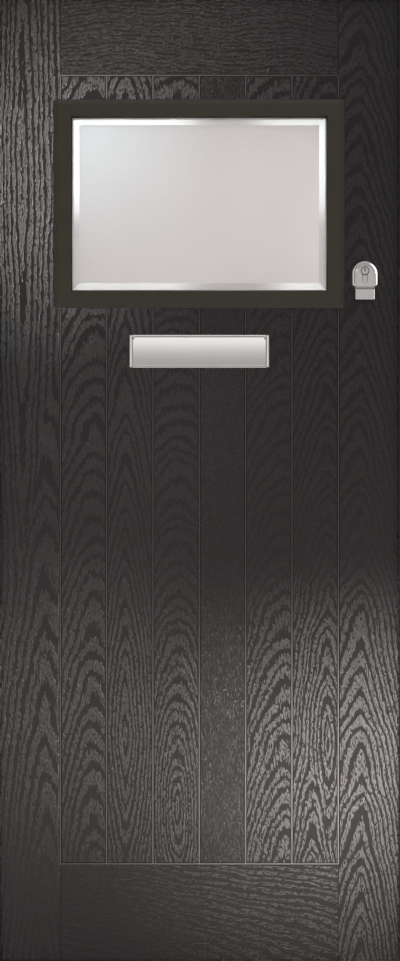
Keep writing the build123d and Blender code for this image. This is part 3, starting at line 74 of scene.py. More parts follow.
class DoorLook(bpy.types.PropertyGroup):
    """Sizes and colours of the door's looks."""

    stile_face: bpy.props.FloatProperty(
        name="Stile face", description="Sight line to the planks", default=0.1235, unit="LENGTH"
    )
    top_rail_face: bpy.props.FloatProperty(
        name="Top rail face", description="Sight line to the planks", default=0.155, unit="LENGTH"
    )
    bottom_rail_face: bpy.props.FloatProperty(
        name="Bottom rail face", description="Sight line to the planks", default=0.2, unit="LENGTH"
    )
    plank_count: bpy.props.IntProperty(
        name="Planks", description="Planks between the stiles", default=6, min=1, max=12
    )
    groove_width: bpy.props.FloatProperty(
        name="Groove width", description="Width of the grooves between planks", default=0.0066,
        unit="LENGTH",
    )
    groove_depth: bpy.props.FloatProperty(
        name="Groove depth", description="Depth of the grooves between planks", default=0.002,
        unit="LENGTH",
    )
    scribe_width: bpy.props.FloatProperty(
        name="Scribe width", description="Width of the line between stile and rail", default=0.0016,
        unit="LENGTH",
    )
    scribe_depth: bpy.props.FloatProperty(
        name="Scribe depth", description="Depth of the line between stile and rail", default=0.0008,
        unit="LENGTH",
    )
    smooth_grain: bpy.props.FloatVectorProperty(
        name="Smooth grain", description="Colour of the smooth grain", default=(0.0100, 0.0088, 0.0080),
        subtype="COLOR",
    )
    open_grain: bpy.props.FloatVectorProperty(
        name="Open grain", description="Colour of the open grain", default=(0.0150, 0.0132, 0.0120),
        subtype="COLOR",
    )
    # Painted highlight: a pale colour along the bottom of the grooves, standing in for the gloss that a lit
    # groove bottom catches.
    groove_highlight: bpy.props.FloatVectorProperty(
        name="Groove line", description="Colour along the bottom of the grooves",
        default=(0.115, 0.112, 0.110), subtype="COLOR",
    )
    pore_depth: bpy.props.FloatProperty(
        name="Pore depth", description="Depth of the embossed pores", default=0.00018, unit="LENGTH"
    )
    cassette_colour: bpy.props.FloatVectorProperty(
        name="Cassette", description="Colour of the frame round the glass", default=(0.078, 0.068, 0.050),
        subtype="COLOR",
    )
    steel_colour: bpy.props.FloatVectorProperty(
        name="Steel", description="Colour of the room side escutcheon", default=(0.74, 0.73, 0.72),
        subtype="COLOR",
    )
    obscure_colour: bpy.props.FloatVectorProperty(
        name="Obscured glass", description="Colour of the frosted inner pane",
        default=(0.845, 0.79, 0.798), subtype="COLOR",
    )
    # Painted shade: a grey tint in the pane's bevel, standing in for the darker light that the bevel bends.
    bevel_shade_tint: bpy.props.FloatVectorProperty(
        name="Ground bevel", description="Tint of the glass in its bevel", default=(0.84, 0.82, 0.80),
        subtype="COLOR",
    )
    floor_colour: bpy.props.FloatVectorProperty(
        name="Floor", description="Colour of the floor", default=(0.64, 0.63, 0.62), subtype="COLOR"
    )
    softbox_radiance: bpy.props.FloatProperty(
        name="Softboxes", description="Brightness of the strip lights in front", default=12.0, min=0.0
    )


def look():
    """The scene's own sizes and colours."""
    return bpy.context.scene.door_look


# Shader nodes


def add_node(tree, kind, inputs=None, **settings):
    """A shader node with its settings. inputs maps a socket's name or number to a value or to a socket."""
    made = tree.nodes.new("ShaderNode" + kind)
    for key, value in settings.items():
        setattr(made, key, value)
    for key, value in (inputs or {}).items():
        if isinstance(value, bpy.types.NodeSocket):
            tree.links.new(value, made.inputs[key])
        else:
            made.inputs[key].default_value = value
    return made


def calc(tree, operation, *values):
    """One sum on numbers or sockets, as a socket."""
    return add_node(tree, "Math", dict(enumerate(values)), operation=operation).outputs[0]


def spread(tree, value, low, high, new_low=0.0, new_high=1.0):
    """A number eased from one range into another, as a socket."""
    inputs = {"Value": value, "From Min": low, "From Max": high, "To Min": new_low, "To Max": new_high}
    return add_node(tree, "MapRange", inputs, interpolation_type="SMOOTHSTEP").outputs["Result"]


def noise(tree, place, cycles, detail=1.0):
    """Soft noise from 0 to 1 at a place, with its own cycles per millimetre along each axis."""
    stretched = add_node(tree, "VectorMath", {0: place, 1: cycles}, operation="MULTIPLY").outputs[0]
    return add_node(tree, "TexNoise", {"Vector": stretched, "Scale": 1.0, "Detail": detail}).outputs[0]


def even(size):
    """The noise cycles of spots that have one size, in millimetres, along every axis."""
    return (1 / size,) * 3


def blend_colour(tree, share, first, second):
    """A mix of two colours by a share, as a socket."""
    made = add_node(tree, "Mix", data_type="RGBA")
    for socket, value in ((made.inputs[0], share), (made.inputs[6], first), (made.inputs[7], second)):
        if isinstance(value, bpy.types.NodeSocket):
            tree.links.new(value, socket)
        elif isinstance(value, float):
            socket.default_value = value
        else:
            socket.default_value = (*value, 1.0)
    return made.outputs[2]


def new_material(name):
    """A material with a principled shader: the material, its node tree and that shader."""
    material = bpy.data.materials.new(name)
    material.use_nodes = True
    tree = material.node_tree
    return material, tree, tree.nodes["Principled BSDF"]


def object_place(tree):
    """The point on the object, in millimetres."""
    point = add_node(tree, "TexCoord").outputs["Object"]
    return add_node(tree, "VectorMath", {0: point, "Scale": 1 / MM}, operation="SCALE").outputs[0]


def set_bump(tree, shader, height, depth):
    """Gives a shader a relief from a height between 0 and 1, that deep in metres."""
    inputs = {"Height": height, "Distance": depth, "Strength": 1.0}
    tree.links.new(add_node(tree, "Bump", inputs).outputs[0], shader.inputs["Normal"])


# Grain

# Each board's figure, in millimetres: its heart line across, the height where the heart's depth is zero, the
# depth's slope, the ring spacing, how round the arches are, the lean to one side, how far noise moves the
# heart and the rings, the frayed share of a ring, the seed, how far the figure shows, and a second heart
FIGURE_FIELDS = (
    "Centre", "Rise", "Slope", "Spacing", "Point", "Skew", "Wander", "Waves", "Teeth", "Seed", "Show",
    "Centre 2", "Rise 2", "Slope 2", "Lag 2",
)
NO_HEART = (0, 0, 0, 5000)
FIGURES = {
    "hinge_stile": (-320, -240, 0.128, 10.5, 1.45, -0.1, 12, 4.5, 0.4, 1, 1.0, -365, 1640, 0.045, 125),
    "lock_stile": (335, -200, 0.19, 8.4, 1.35, 0.15, 8, 2.0, 0.3, 2, 1.0, *NO_HEART),
    "top_rail": (1790, -900, 0.06, 8.0, 2.0, 0.0, 40, 9.0, 0.7, 3, 0.35, *NO_HEART),
    "bottom_rail": (-40, -900, 0.2, 9.0, 2.0, 0.0, 20, 6.0, 0.22, 4, 0.55, *NO_HEART),
    "plank_1": (-217, -180, 0.15, 7.0, 1.7, 0.0, 12, 2.5, 0.4, 5, 1.0, *NO_HEART),
    "plank_2": (-153, 508, 0.14, 7.2, 1.45, 0.0, 4, 2.0, 0.35, 6, 1.0, *NO_HEART),
    "plank_3": (-44, 341, 0.19, 5.8, 2.1, 0.0, 5, 2.5, 0.5, 7, 0.9, *NO_HEART),
    "plank_4": (20, -300, 0.05, 4.0, 2.0, 0.0, 20, 6.0, 1.8, 8, 0.30, *NO_HEART),
    "plank_5": (177, -120, 0.20, 7.2, 1.7, 0.0, 6, 3.0, 0.5, 9, 0.95, *NO_HEART),
    "plank_6": (265, 489, 0.20, 7.6, 1.5, 0.0, 3, 2.5, 0.4, 10, 1.0, 232, 170, 0.19, -14),
    "jamb": (-440, -900, 0.03, 9.0, 2.0, 0.0, 8, 3.0, 0.4, 11, 0.7, *NO_HEART),
    "head": (2043, -900, 0.03, 9.0, 2.0, 0.0, 8, 3.0, 0.4, 12, 0.7, *NO_HEART),
}
DRAWN_FIGURES = 6  # planks with a figure of their own
LEVEL_BOARDS = ("top_rail", "bottom_rail", "head")

# Noise in the grain: cycles per millimetre across a board, along it and in the noise's third direction
DRIFT_CYCLES = (0, 1 / 260, 0.1)
LIFT_CYCLES = (0, 1 / 120, 0.2)
WAVE_CYCLES = (1 / 30, 1 / 90, 0.3)
TOOTH_CYCLES = (1 / 3.4, 1 / 20, 0.4)
FIBRE_CYCLES = (1 / 3.0, 1 / 14, 0.5)
PORE_CYCLES = (1 / 2.3, 1 / 8, 0.6)
STRAY_CYCLES = 0.5  # per ring
SEED_STEP = 391.7  # mm in the noise's third direction from one seed to the next
LIFT_REACH = 45.0  # mm that noise moves the arches up and down
STRAY_REACH = 1.3  # rings that the spacing strays by
HEART_BLEND = 6.0  # mm over which the rings of two hearts run together
BAND_EDGE = (-0.46, 0.06)  # of the rings' wave, from smooth to open grain
PORE_EDGE = (0.44, 0.62)  # of the pores' noise, from none to a pore

# How the grain shows
STREAKS = (0.32, 0.68, 0.44, 1.22)  # range of the fibres' noise, and the strength it gives the open grain
FLECKS = (0.45, 0.75, 0, 0.34)  # range of the fibres' noise, and the open grain it gives the smooth
PORE_LOSS = 0.75  # open grain that a pore takes away
PORELESS = 1.08  # open grain between the pores
PLAIN_SHARE = 0.18  # open grain of a board where no figure shows
PORE_FALL = 0.8  # share of the relief's depth that a pore has
BAND_RISE = 0.9  # share of the relief's depth that the open grain stands up by
SMOOTH_GLOSS = 0.17  # roughness of the smooth grain, which mirrors the raking light away
OPEN_GLOSS = 0.48  # roughness of the open grain, which scatters it
GROOVE_MARK = "groove"  # attribute of a board's points: 0 on its face, 1 at the bottom of its grooves
GROOVE_SIDE = (0.0, 0.2)  # of that mark, from grained to plain
# Painted highlight: the pale line along the groove bottoms
GROOVE_HIGHLIGHT_RANGE = (0.86, 0.99)  # of that mark, from plain to the pale line


def grain_group():
    """The figure of a plain-sawn board, all in millimetres.

    A ring's distance is the blend of the distance across from a heart line and the heart's depth, which
    grows along the board by the slope, so that equal distances make pointed arches, or an eye where the
    depth passes zero. A second heart can stand beside the first, behind it by a lag, and the nearer one
    wins. Noise moves the heart lines, waves the rings and frays their edges along the fibres.
    """
    if "board_grain" in bpy.data.node_groups:
        return bpy.data.node_groups["board_grain"]
    tree = bpy.data.node_groups.new("board_grain", "ShaderNodeTree")
    for name in ("Across", "Along", *(field for field in FIGURE_FIELDS if field != "Show")):
        tree.interface.new_socket(name=name, in_out="INPUT", socket_type="NodeSocketFloat")
    for name in ("Band", "Fibre", "Pores"):
        tree.interface.new_socket(name=name, in_out="OUTPUT", socket_type="NodeSocketFloat")
    given = tree.nodes.new("NodeGroupInput").outputs
    result = tree.nodes.new("NodeGroupOutput").inputs
    seed = calc(tree, "MULTIPLY", given["Seed"], SEED_STEP)
    place = add_node(tree, "CombineXYZ", {0: given["Across"], 1: given["Along"], 2: seed}).outputs[0]

    def swing(cycles, reach, detail=1.0):
        """Noise from minus reach to reach."""
        centred = calc(tree, "MULTIPLY_ADD", noise(tree, place, cycles, detail), 2.0, -1.0)
        return calc(tree, "MULTIPLY", centred, reach)

    drift = swing(DRIFT_CYCLES, given["Wander"])
    lift = swing(LIFT_CYCLES, LIFT_REACH)

    def heart(mark):
        """The distance from one heart line: both parts to a power, summed, and the root of that power."""
        across = calc(tree, "SUBTRACT", given["Across"], given["Centre" + mark])
        across = calc(tree, "ADD", across, drift)
        along = calc(tree, "ADD", calc(tree, "SUBTRACT", given["Along"], given["Rise" + mark]), lift)
        depth = calc(tree, "ABSOLUTE", calc(tree, "MULTIPLY", along, given["Slope" + mark]))
        power = given["Point"]
        raised = [calc(tree, "POWER", value, power) for value in (calc(tree, "ABSOLUTE", across), depth)]
        ring = calc(tree, "POWER", calc(tree, "ADD", *raised), calc(tree, "DIVIDE", 1.0, power))
        return calc(tree, "MULTIPLY_ADD", across, given["Skew"], ring)

    second = calc(tree, "ADD", heart(" 2"), given["Lag 2"])
    ring = calc(tree, "SMOOTH_MIN", heart(""), second, HEART_BLEND)
    ring = calc(tree, "ADD", ring, swing(WAVE_CYCLES, given["Waves"]))
    frayed = calc(tree, "MULTIPLY", given["Teeth"], given["Spacing"])
    ring = calc(tree, "ADD", ring, swing(TOOTH_CYCLES, frayed, detail=2.0))
    count = calc(tree, "DIVIDE", ring, given["Spacing"])
    uneven = add_node(tree, "CombineXYZ", {0: calc(tree, "MULTIPLY", count, STRAY_CYCLES), 2: seed})
    stray = noise(tree, uneven.outputs[0], (1, 1, 1))
    count = calc(tree, "MULTIPLY_ADD", stray, STRAY_REACH, count)
    turned = calc(tree, "SINE", calc(tree, "MULTIPLY", count, math.tau))
    tree.links.new(spread(tree, turned, *BAND_EDGE), result["Band"])
    tree.links.new(noise(tree, place, FIBRE_CYCLES, detail=2.0), result["Fibre"])
    tree.links.new(spread(tree, noise(tree, place, PORE_CYCLES), *PORE_EDGE), result["Pores"])
    return tree


def grained(figure):
    """The moulded oak-grain finish of one board.

    The open grain is only a little paler than the smooth and shows by its gloss, where a light rakes over
    it. The grain stops short of the grooves. Their bottoms carry a painted highlight, a pale line that
    stands in for the gloss a lit groove catches.
    """
    name = "grained_" + figure
    if name in bpy.data.materials:
        return bpy.data.materials[name]
    material, tree, shader = new_material(name)
    parts = add_node(tree, "SeparateXYZ", {0: object_place(tree)}).outputs
    level = figure in LEVEL_BOARDS
    grain = tree.nodes.new("ShaderNodeGroup")
    grain.node_tree = grain_group()
    values = dict(zip(FIGURE_FIELDS, FIGURES[figure]))
    show = float(values.pop("Show"))
    for key, value in values.items():
        grain.inputs[key].default_value = float(value)
    tree.links.new(parts[2 if level else 0], grain.inputs["Across"])
    tree.links.new(parts[0 if level else 2], grain.inputs["Along"])
    band, fibre, pores = grain.outputs
    sunk = add_node(tree, "Attribute", attribute_name=GROOVE_MARK).outputs["Fac"]
    plain = calc(tree, "SUBTRACT", 1.0, spread(tree, sunk, *GROOVE_SIDE))
    speckled = calc(tree, "MULTIPLY_ADD", pores, -PORE_LOSS, PORELESS)
    porous = calc(tree, "MULTIPLY", spread(tree, fibre, *STREAKS), speckled)
    porous = calc(tree, "MULTIPLY", band, porous)
    shown = calc(tree, "MULTIPLY_ADD", porous, show, (1 - show) * PLAIN_SHARE)
    smooth = calc(tree, "SUBTRACT", 1.0, band)
    flecks = calc(tree, "MULTIPLY", smooth, spread(tree, fibre, *FLECKS))
    share = calc(tree, "MINIMUM", calc(tree, "ADD", shown, flecks), 1.0)
    share = calc(tree, "MULTIPLY", share, plain)
    colour = blend_colour(tree, share, tuple(look().smooth_grain), tuple(look().open_grain))
    # Painted highlight: the groove bottoms take a pale colour that stands in for the light they mirror
    bottom = spread(tree, sunk, *GROOVE_HIGHLIGHT_RANGE)
    colour = blend_colour(tree, bottom, colour, tuple(look().groove_highlight))
    tree.links.new(colour, shader.inputs["Base Color"])
    tree.links.new(spread(tree, share, 0.0, 1.0, SMOOTH_GLOSS, OPEN_GLOSS), shader.inputs["Roughness"])
    shader.inputs["Specular IOR Level"].default_value = 1.0
    relief = calc(tree, "MULTIPLY", band, calc(tree, "MULTIPLY_ADD", pores, -PORE_FALL, BAND_RISE))
    set_bump(tree, shader, calc(tree, "MULTIPLY", relief, plain), look().pore_depth)
    return material


# Plain, metal, timber and glass finishes

SOFT_STEP = (0.3, 0.7)  # range of a noise over which one tone passes into another
CLOUD_SIZE = 60.0  # mm, patches of slightly different tone
TEXTURE_SWING = 0.10  # spread of roughness over a fine texture
SMUDGE_SIZE = 23.0  # mm, patches of different gloss on metal
SMUDGE_SWING = 0.08  # spread of roughness over those patches
LINE_SWING = 0.12  # spread of roughness over the drawn lines
LINE_SHADE = 0.9  # of the metal's colour, between the drawn lines
LINE_RELIEF = 0.000006  # depth of the drawn lines
GLASS_IOR = 1.5
CLEAR_COLOUR = (0.985, 0.978, 0.972)  # of the glass inside its bevel


def plain_finish(name, colour, roughness, variation=0.06, speckle=1.2, relief=0.00003):
    """A moulded or coated finish, whose colour and gloss vary a little.

    variation is the share by which the colour changes, speckle the size of its fine texture in millimetres
    and relief that texture's depth in metres.
    """
    material, tree, shader = new_material(name)
    place = object_place(tree)
    cloud = noise(tree, place, even(CLOUD_SIZE), detail=3.0)
    fine = noise(tree, place, even(speckle), detail=2.0)
    dark = tuple(c * (1 - variation) for c in colour)
    bright = tuple(min(c * (1 + variation), 1.0) for c in colour)
    mixed = blend_colour(tree, spread(tree, cloud, *SOFT_STEP), dark, bright)
    tree.links.new(mixed, shader.inputs["Base Color"])
    rough = calc(tree, "MULTIPLY_ADD", fine, TEXTURE_SWING, roughness - TEXTURE_SWING / 2)
    tree.links.new(rough, shader.inputs["Roughness"])
    set_bump(tree, shader, fine, relief)
    return material


def brushed_finish(name, colour, roughness, lines):
    """Metal with fine drawn lines. lines has their size along each axis, in millimetres."""
    material, tree, shader = new_material(name)
    place = object_place(tree)
    drawn = noise(tree, place, tuple(1 / size for size in lines), detail=3.0)
    smudge = noise(tree, place, even(SMUDGE_SIZE), detail=3.0)
    dark = tuple(c * LINE_SHADE for c in colour)
    mixed = blend_colour(tree, spread(tree, drawn, *SOFT_STEP), dark, colour)
    tree.links.new(mixed, shader.inputs["Base Color"])
    rough = calc(tree, "MULTIPLY_ADD", drawn, LINE_SWING, roughness - LINE_SWING / 2)
    rough = calc(tree, "SUBTRACT", rough, SMUDGE_SWING / 2)
    rough = calc(tree, "MULTIPLY_ADD", smudge, SMUDGE_SWING, rough)
    tree.links.new(rough, shader.inputs["Roughness"])
    shader.inputs["Metallic"].default_value = 1.0
    set_bump(tree, shader, drawn, LINE_RELIEF)
    return material


def nickel(name):
    """The cylinder's nickel."""
    return brushed_finish(name, (0.65, 0.64, 0.63), roughness=0.32, lines=(2, 2, 2))


def darken(tree, share, colour):
    """Paints shade: lays a dark colour over a finish's own one, as far as the share says."""
    base = tree.nodes["Principled BSDF"].inputs["Base Color"]
    plain = base.links[0].from_socket
    tree.links.new(blend_colour(tree, share, plain, colour), base)


STEM_HALF = 5.0  # mm, half of the cylinder's stem under its round head
STEM_EDGE = (0.7, 0.3)  # mm from the stem's side, over which its painted shade line darkens
RING_WIDTH = 1.5  # mm, the painted shade line round the head
RING_START = 0.6  # share of that width over which it darkens
RING_OUTSIDE = (-1.2, -0.8)  # mm from the head's edge, over which it begins past the head
STEM_TOP = 0.7  # share of the head's radius, below its middle, where the stem's edge begins
SHADE_LINE_COLOUR = (0.05, 0.048, 0.045)
KEYWAY_DEPTH = (0.3, 1.5)  # mm behind the plug's face, over which painted shade darkens the keyway
KEYWAY_SHADE_COLOUR = (0.01, 0.01, 0.01)


def ringed_nickel():
    """The cylinder's nickel, with a painted shade line round its head and along its stem, where the gap to
    the pull lies in shade.
    """
    made = nickel("nickel_body")
    tree = made.node_tree
    parts = add_node(tree, "SeparateXYZ", {0: object_place(tree)}).outputs
    head_x = (BODY_LOW[0] + BODY_HIGH[0]) / 2 / MM
    radius = (BODY_HIGH[0] - BODY_LOW[0]) / 2 / MM
    head_z = BODY_HIGH[2] / MM - radius
    across = calc(tree, "SUBTRACT", parts[0], head_x)
    up = calc(tree, "SUBTRACT", parts[2], head_z)
    squares = calc(tree, "MULTIPLY_ADD", across, across, calc(tree, "MULTIPLY", up, up))
    ring = calc(tree, "SUBTRACT", radius, calc(tree, "SQRT", squares))
    stem = calc(tree, "SUBTRACT", STEM_HALF, calc(tree, "ABSOLUTE", across))
    below = spread(tree, up, -radius * STEM_TOP, -radius)
    inside = spread(tree, ring, RING_WIDTH, RING_WIDTH * RING_START)
    head_edge = calc(tree, "MULTIPLY", inside, spread(tree, ring, *RING_OUTSIDE))
    stem_edge = calc(tree, "MULTIPLY", spread(tree, stem, *STEM_EDGE), below)
    # Painted shade: a dark line round the head and down the stem, where the gap to the pull lies in shade
    darken(tree, calc(tree, "MAXIMUM", head_edge, stem_edge), SHADE_LINE_COLOUR)
    return made


def keyed_nickel():
    """The plug's nickel, with painted shade inside the keyway, where the deep slot lies in shade."""
    made = nickel("nickel_plug")
    tree = made.node_tree
    inward = add_node(tree, "SeparateXYZ", {0: object_place(tree)}).outputs[1]
    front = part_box("cylinder_plug")[0][1] / MM
    # Painted shade inside the keyway
    darken(tree, spread(tree, inward, *(front + depth for depth in KEYWAY_DEPTH)), KEYWAY_SHADE_COLOUR)
    return made


def sawn_timber():
    """Planed softwood: straight growth rings in a pale brown."""
    pale, dark = (0.56, 0.40, 0.24), (0.36, 0.21, 0.10)
    ring_width = 3.4  # mm for each radian of the rings' wave
    ring_edge = (-0.6, 0.9)  # of that wave, from pale to dark
    bend = 26.0  # radians that noise shifts it by
    fibre_share = 0.35
    material, tree, shader = new_material("planed_softwood")
    place = object_place(tree)
    bent = noise(tree, place, (1 / 40, 1 / 40, 1 / 500), detail=2.0)
    parts = add_node(tree, "SeparateXYZ", {0: place}).outputs
    rings = calc(tree, "MULTIPLY_ADD", bent, bend, calc(tree, "DIVIDE", parts[0], ring_width))
    band = spread(tree, calc(tree, "SINE", rings), *ring_edge)
    fibre = noise(tree, place, (1 / 0.8, 1 / 0.8, 1 / 24), detail=2.0)
    banded = calc(tree, "MULTIPLY", band, 1 - fibre_share)
    share = calc(tree, "MULTIPLY_ADD", fibre, fibre_share, banded)
    tree.links.new(blend_colour(tree, share, pale, dark), shader.inputs["Base Color"])
    shader.inputs["Roughness"].default_value = 0.62
    set_bump(tree, shader, fibre, 0.0001)
    return material


def obscured_glass():
    """The inner pane: acid-etched glass, pale and softly translucent."""
    etch_size = 0.9  # mm
    etch_relief = 0.00001
    roughness, swing = 0.5, 0.1
    cloud_size = 160.0  # mm
    cloud_shade = 0.94
    clear_share = 0.35
    material, tree, shader = new_material("obscured_glass")
    place = object_place(tree)
    etched = noise(tree, place, even(etch_size), detail=2.0)
    pale = tuple(look().obscure_colour)
    deeper = tuple(c * cloud_shade for c in pale)
    mixed = blend_colour(tree, noise(tree, place, even(cloud_size)), pale, deeper)
    tree.links.new(mixed, shader.inputs["Base Color"])
    tree.links.new(calc(tree, "MULTIPLY_ADD", etched, swing, roughness), shader.inputs["Roughness"])
    shader.inputs["Transmission Weight"].default_value = clear_share
    shader.inputs["IOR"].default_value = GLASS_IOR
    set_bump(tree, shader, etched, etch_relief)
    return material


def clear_glass():
    """The bevelled pane: clear polished glass, with painted shade in its bevel, a grey tint that stands in
    for the darker light the bevel bends to the eye.
    """
    haze_size = 90.0  # mm
    haze_roughness = 0.01
    bevel_reach = 28.0  # mm from the pane's hidden edge
    bevel_edge = 0.3  # mm to each side, over which the tint begins
    material, tree, shader = new_material("clear_glass")
    place = object_place(tree)
    haze = noise(tree, place, even(haze_size), detail=2.0)
    tree.links.new(calc(tree, "MULTIPLY", haze, haze_roughness), shader.inputs["Roughness"])
    parts = add_node(tree, "SeparateXYZ", {0: place}).outputs
    reaches = []
    for axis in (0, 2):
        middle = (PANE_LOW[axis] + PANE_HIGH[axis]) / 2 / MM
        half = (PANE_HIGH[axis] - PANE_LOW[axis]) / 2 / MM
        off = calc(tree, "ABSOLUTE", calc(tree, "SUBTRACT", parts[axis], middle))
        reaches.append(calc(tree, "SUBTRACT", half, off))
    from_edge = calc(tree, "MINIMUM", *reaches)
    # Painted shade: the bevel takes a grey tint
    bevel_shade_share = spread(tree, from_edge, bevel_reach + bevel_edge, bevel_reach - bevel_edge)
    colour = blend_colour(tree, bevel_shade_share, CLEAR_COLOUR, tuple(look().bevel_shade_tint))
    tree.links.new(colour, shader.inputs["Base Color"])
    shader.inputs["Transmission Weight"].default_value = 1.0
    shader.inputs["IOR"].default_value = GLASS_IOR
    return material


def part_finish(name):
    """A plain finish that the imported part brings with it, used as it is."""
    return bpy.data.materials[name]


def dress(material, *names):
    """Gives CAD nodes a material."""
    for name in names:
        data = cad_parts[name].data
        data.materials.clear()
        data.materials.append(material)


# Boards

# Shares of a groove's half width. The last two lie on the face and keep its shading flat.
EDGE_STEPS = np.array([0.0, 0.2, 0.36, 0.4, 0.46, 0.58, 0.72, 0.86, 1.0, 1.1, 1.3])
EDGE_FLAT = 0.38  # share of that half width that is flat at the bottom
EDGE_BEND = 1.25  # power by which an edge falls away
ARRIS_WIDTH = 0.0014
ARRIS_DEPTH = 0.0008
STILE_STEP = 0.0002  # to each side of the rails' inner edges, where a stile's edge changes
SHARP_ANGLE = 0.5  # radians, between faces that keep an edge
SLOT_MARGIN = 0.0095  # past the tunnel, to the letterplate's bosses
APERTURE_MARGIN = 0.014  # cassette's outer edge to the opening in the skin
BOLT_REACH = 0.019  # cylinder's axis to each through bolt
BOLT_HALF = 0.003
HOLE_MARGIN = 0.0006
DIGITS = 6  # of a grid line's place, so that lines that fall together count once


def slab(xs, zs, face, back, openings):
    """Points and faces of a slab over a grid of x and z lines, and each point's place in the grid.

    Its face is y = face at each grid point and its back is flat. Cells whose middle is in an opening are
    left out, and a wall joins face and back wherever a cell that stays meets one that doesn't.
    """
    count_x, count_z = len(xs), len(zs)
    layer = count_x * count_z
    grid_x, grid_z = np.meshgrid(xs, zs, indexing="ij")
    sheets = [np.stack([grid_x, depth, grid_z], axis=-1) for depth in (face, np.full_like(grid_x, back))]
    points = np.concatenate([sheet.reshape(-1, 3) for sheet in sheets])
    middle_x, middle_z = np.meshgrid((xs[1:] + xs[:-1]) / 2, (zs[1:] + zs[:-1]) / 2, indexing="ij")
    kept = np.ones(middle_x.shape, dtype=bool)
    for low_x, high_x, low_z, high_z in openings:
        kept &= ~((middle_x > low_x) & (middle_x < high_x) & (middle_z > low_z) & (middle_z < high_z))
    number = np.arange(layer).reshape(count_x, count_z)
    corners = [number[:-1, :-1], number[1:, :-1], number[1:, 1:], number[:-1, 1:]]
    fronts = np.stack(corners, axis=-1)[kept]
    faces = [fronts, fronts[:, ::-1] + layer]
    padded = np.pad(kept, 1)
    beyond = [padded[1:-1, :-2], padded[2:, 1:-1], padded[1:-1, 2:], padded[:-2, 1:-1]]
    for side in range(4):
        bare = kept & ~beyond[side]
        start = corners[side][bare]
        end = corners[(side + 1) % 4][bare]
        faces.append(np.stack([end, start, start + layer, end + layer], axis=-1))
    faces = np.concatenate(faces)
    used, places = np.unique(faces, return_inverse=True)
    return points[used], places.reshape(faces.shape), used % layer


def make_piece(name, points, faces, material, body, replaced):
    """A piece of the door from its points and faces, smooth except at sharp edges."""
    mesh = bpy.data.meshes.new(name)
    mesh.from_pydata(np.asarray(points).tolist(), [], np.asarray(faces).tolist())
    mesh.materials.append(material)
    mesh.shade_smooth()
    mesh.set_sharp_from_angle(angle=SHARP_ANGLE)
    piece = bpy.data.objects.new(name, mesh)
    bpy.context.scene.collection.objects.link(piece)
    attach(piece, body)
    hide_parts(replaced)
    return piece


def edge_sizes(kind, along, panel):
    """Half width and depth of a board's edge, for each place along it."""
    sizes = look()
    kinds = {
        "groove": (sizes.groove_width / 2, sizes.groove_depth),
        "scribe": (sizes.scribe_width / 2, sizes.scribe_depth),
        "arris": (ARRIS_WIDTH, ARRIS_DEPTH),
        "cut": (1.0, 0.0),
    }
    if kind == "stile":
        inside = (along > panel[0]) & (along < panel[1])
        return [np.where(inside, groove, scribe) for groove, scribe in zip(kinds["groove"], kinds["scribe"])]
    return [np.full_like(along, size) for size in kinds[kind]]


def edge_lines(low, high, kinds):
    """Grid lines across a board, close together where an edge falls away."""
    widest = look().groove_width / 2
    lines = [np.array([low, high])]
    if kinds[0] != "cut":
        lines.append(low + widest * EDGE_STEPS)
    if kinds[1] != "cut":
        lines.append(high - widest * EDGE_STEPS)
    return np.concatenate(lines)


def board(name, x_span, z_span, edges, openings, room_side, panel, figure):
    """One board of a skin. edges has the kinds of its left, right, lower and upper edge.

    Near an edge the face sinks by the edge's depth times a share to a power. The share is 1 over the flat
    bottom, and from there it falls evenly to 0 at the edge's half width. The deepest edge holds.
    """
    xs = edge_lines(*x_span, edges[:2])
    zs = edge_lines(*z_span, edges[2:])
    held = [
        box for box in openings
        if box[0] < x_span[1] and box[1] > x_span[0] and box[2] < z_span[1] and box[3] > z_span[0]
    ]
    zs = np.concatenate([zs, [line + way * STILE_STEP for line in panel for way in (-1, 1)]])
    for box in held:
        xs = np.concatenate([xs, box[:2]])
        zs = np.concatenate([zs, box[2:]])
    xs = np.unique(np.round(np.clip(xs, *x_span), DIGITS))
    zs = np.unique(np.round(np.clip(zs, *z_span), DIGITS))
    grid_x, grid_z = np.meshgrid(xs, zs, indexing="ij")
    fall = np.zeros_like(grid_x)
    distances = (grid_x - x_span[0], x_span[1] - grid_x, grid_z - z_span[0], z_span[1] - grid_z)
    alongs = (grid_z, grid_z, grid_x, grid_x)
    for kind, distance, along in zip(edges, distances, alongs):
        width, depth = edge_sizes(kind, along, panel)
        flat = 0.0 if kind == "arris" else EDGE_FLAT
        sunk = np.clip((1 - distance / width) / (1 - flat), 0, 1)
        fall = np.maximum(fall, depth * sunk ** EDGE_BEND)
    points, faces, grid_place = slab(xs, zs, SKIN_LOW[1] + fall, SKIN_HIGH[1], held)
    if room_side:
        points[:, 1] = SKIN_LOW[1] + ROOM_FACE - points[:, 1]
        faces = faces[:, ::-1]
    replaced = "inner_skin" if room_side else "outer_skin"
    piece = make_piece(name, points, faces, grained(figure), "leaf", replaced)
    mark = piece.data.attributes.new(GROOVE_MARK, "FLOAT", "POINT")
    sunk = np.clip(fall / look().groove_depth, 0, 1).reshape(-1)[grid_place]
    mark.data.foreach_set("value", sunk.astype(np.float32))
    return piece


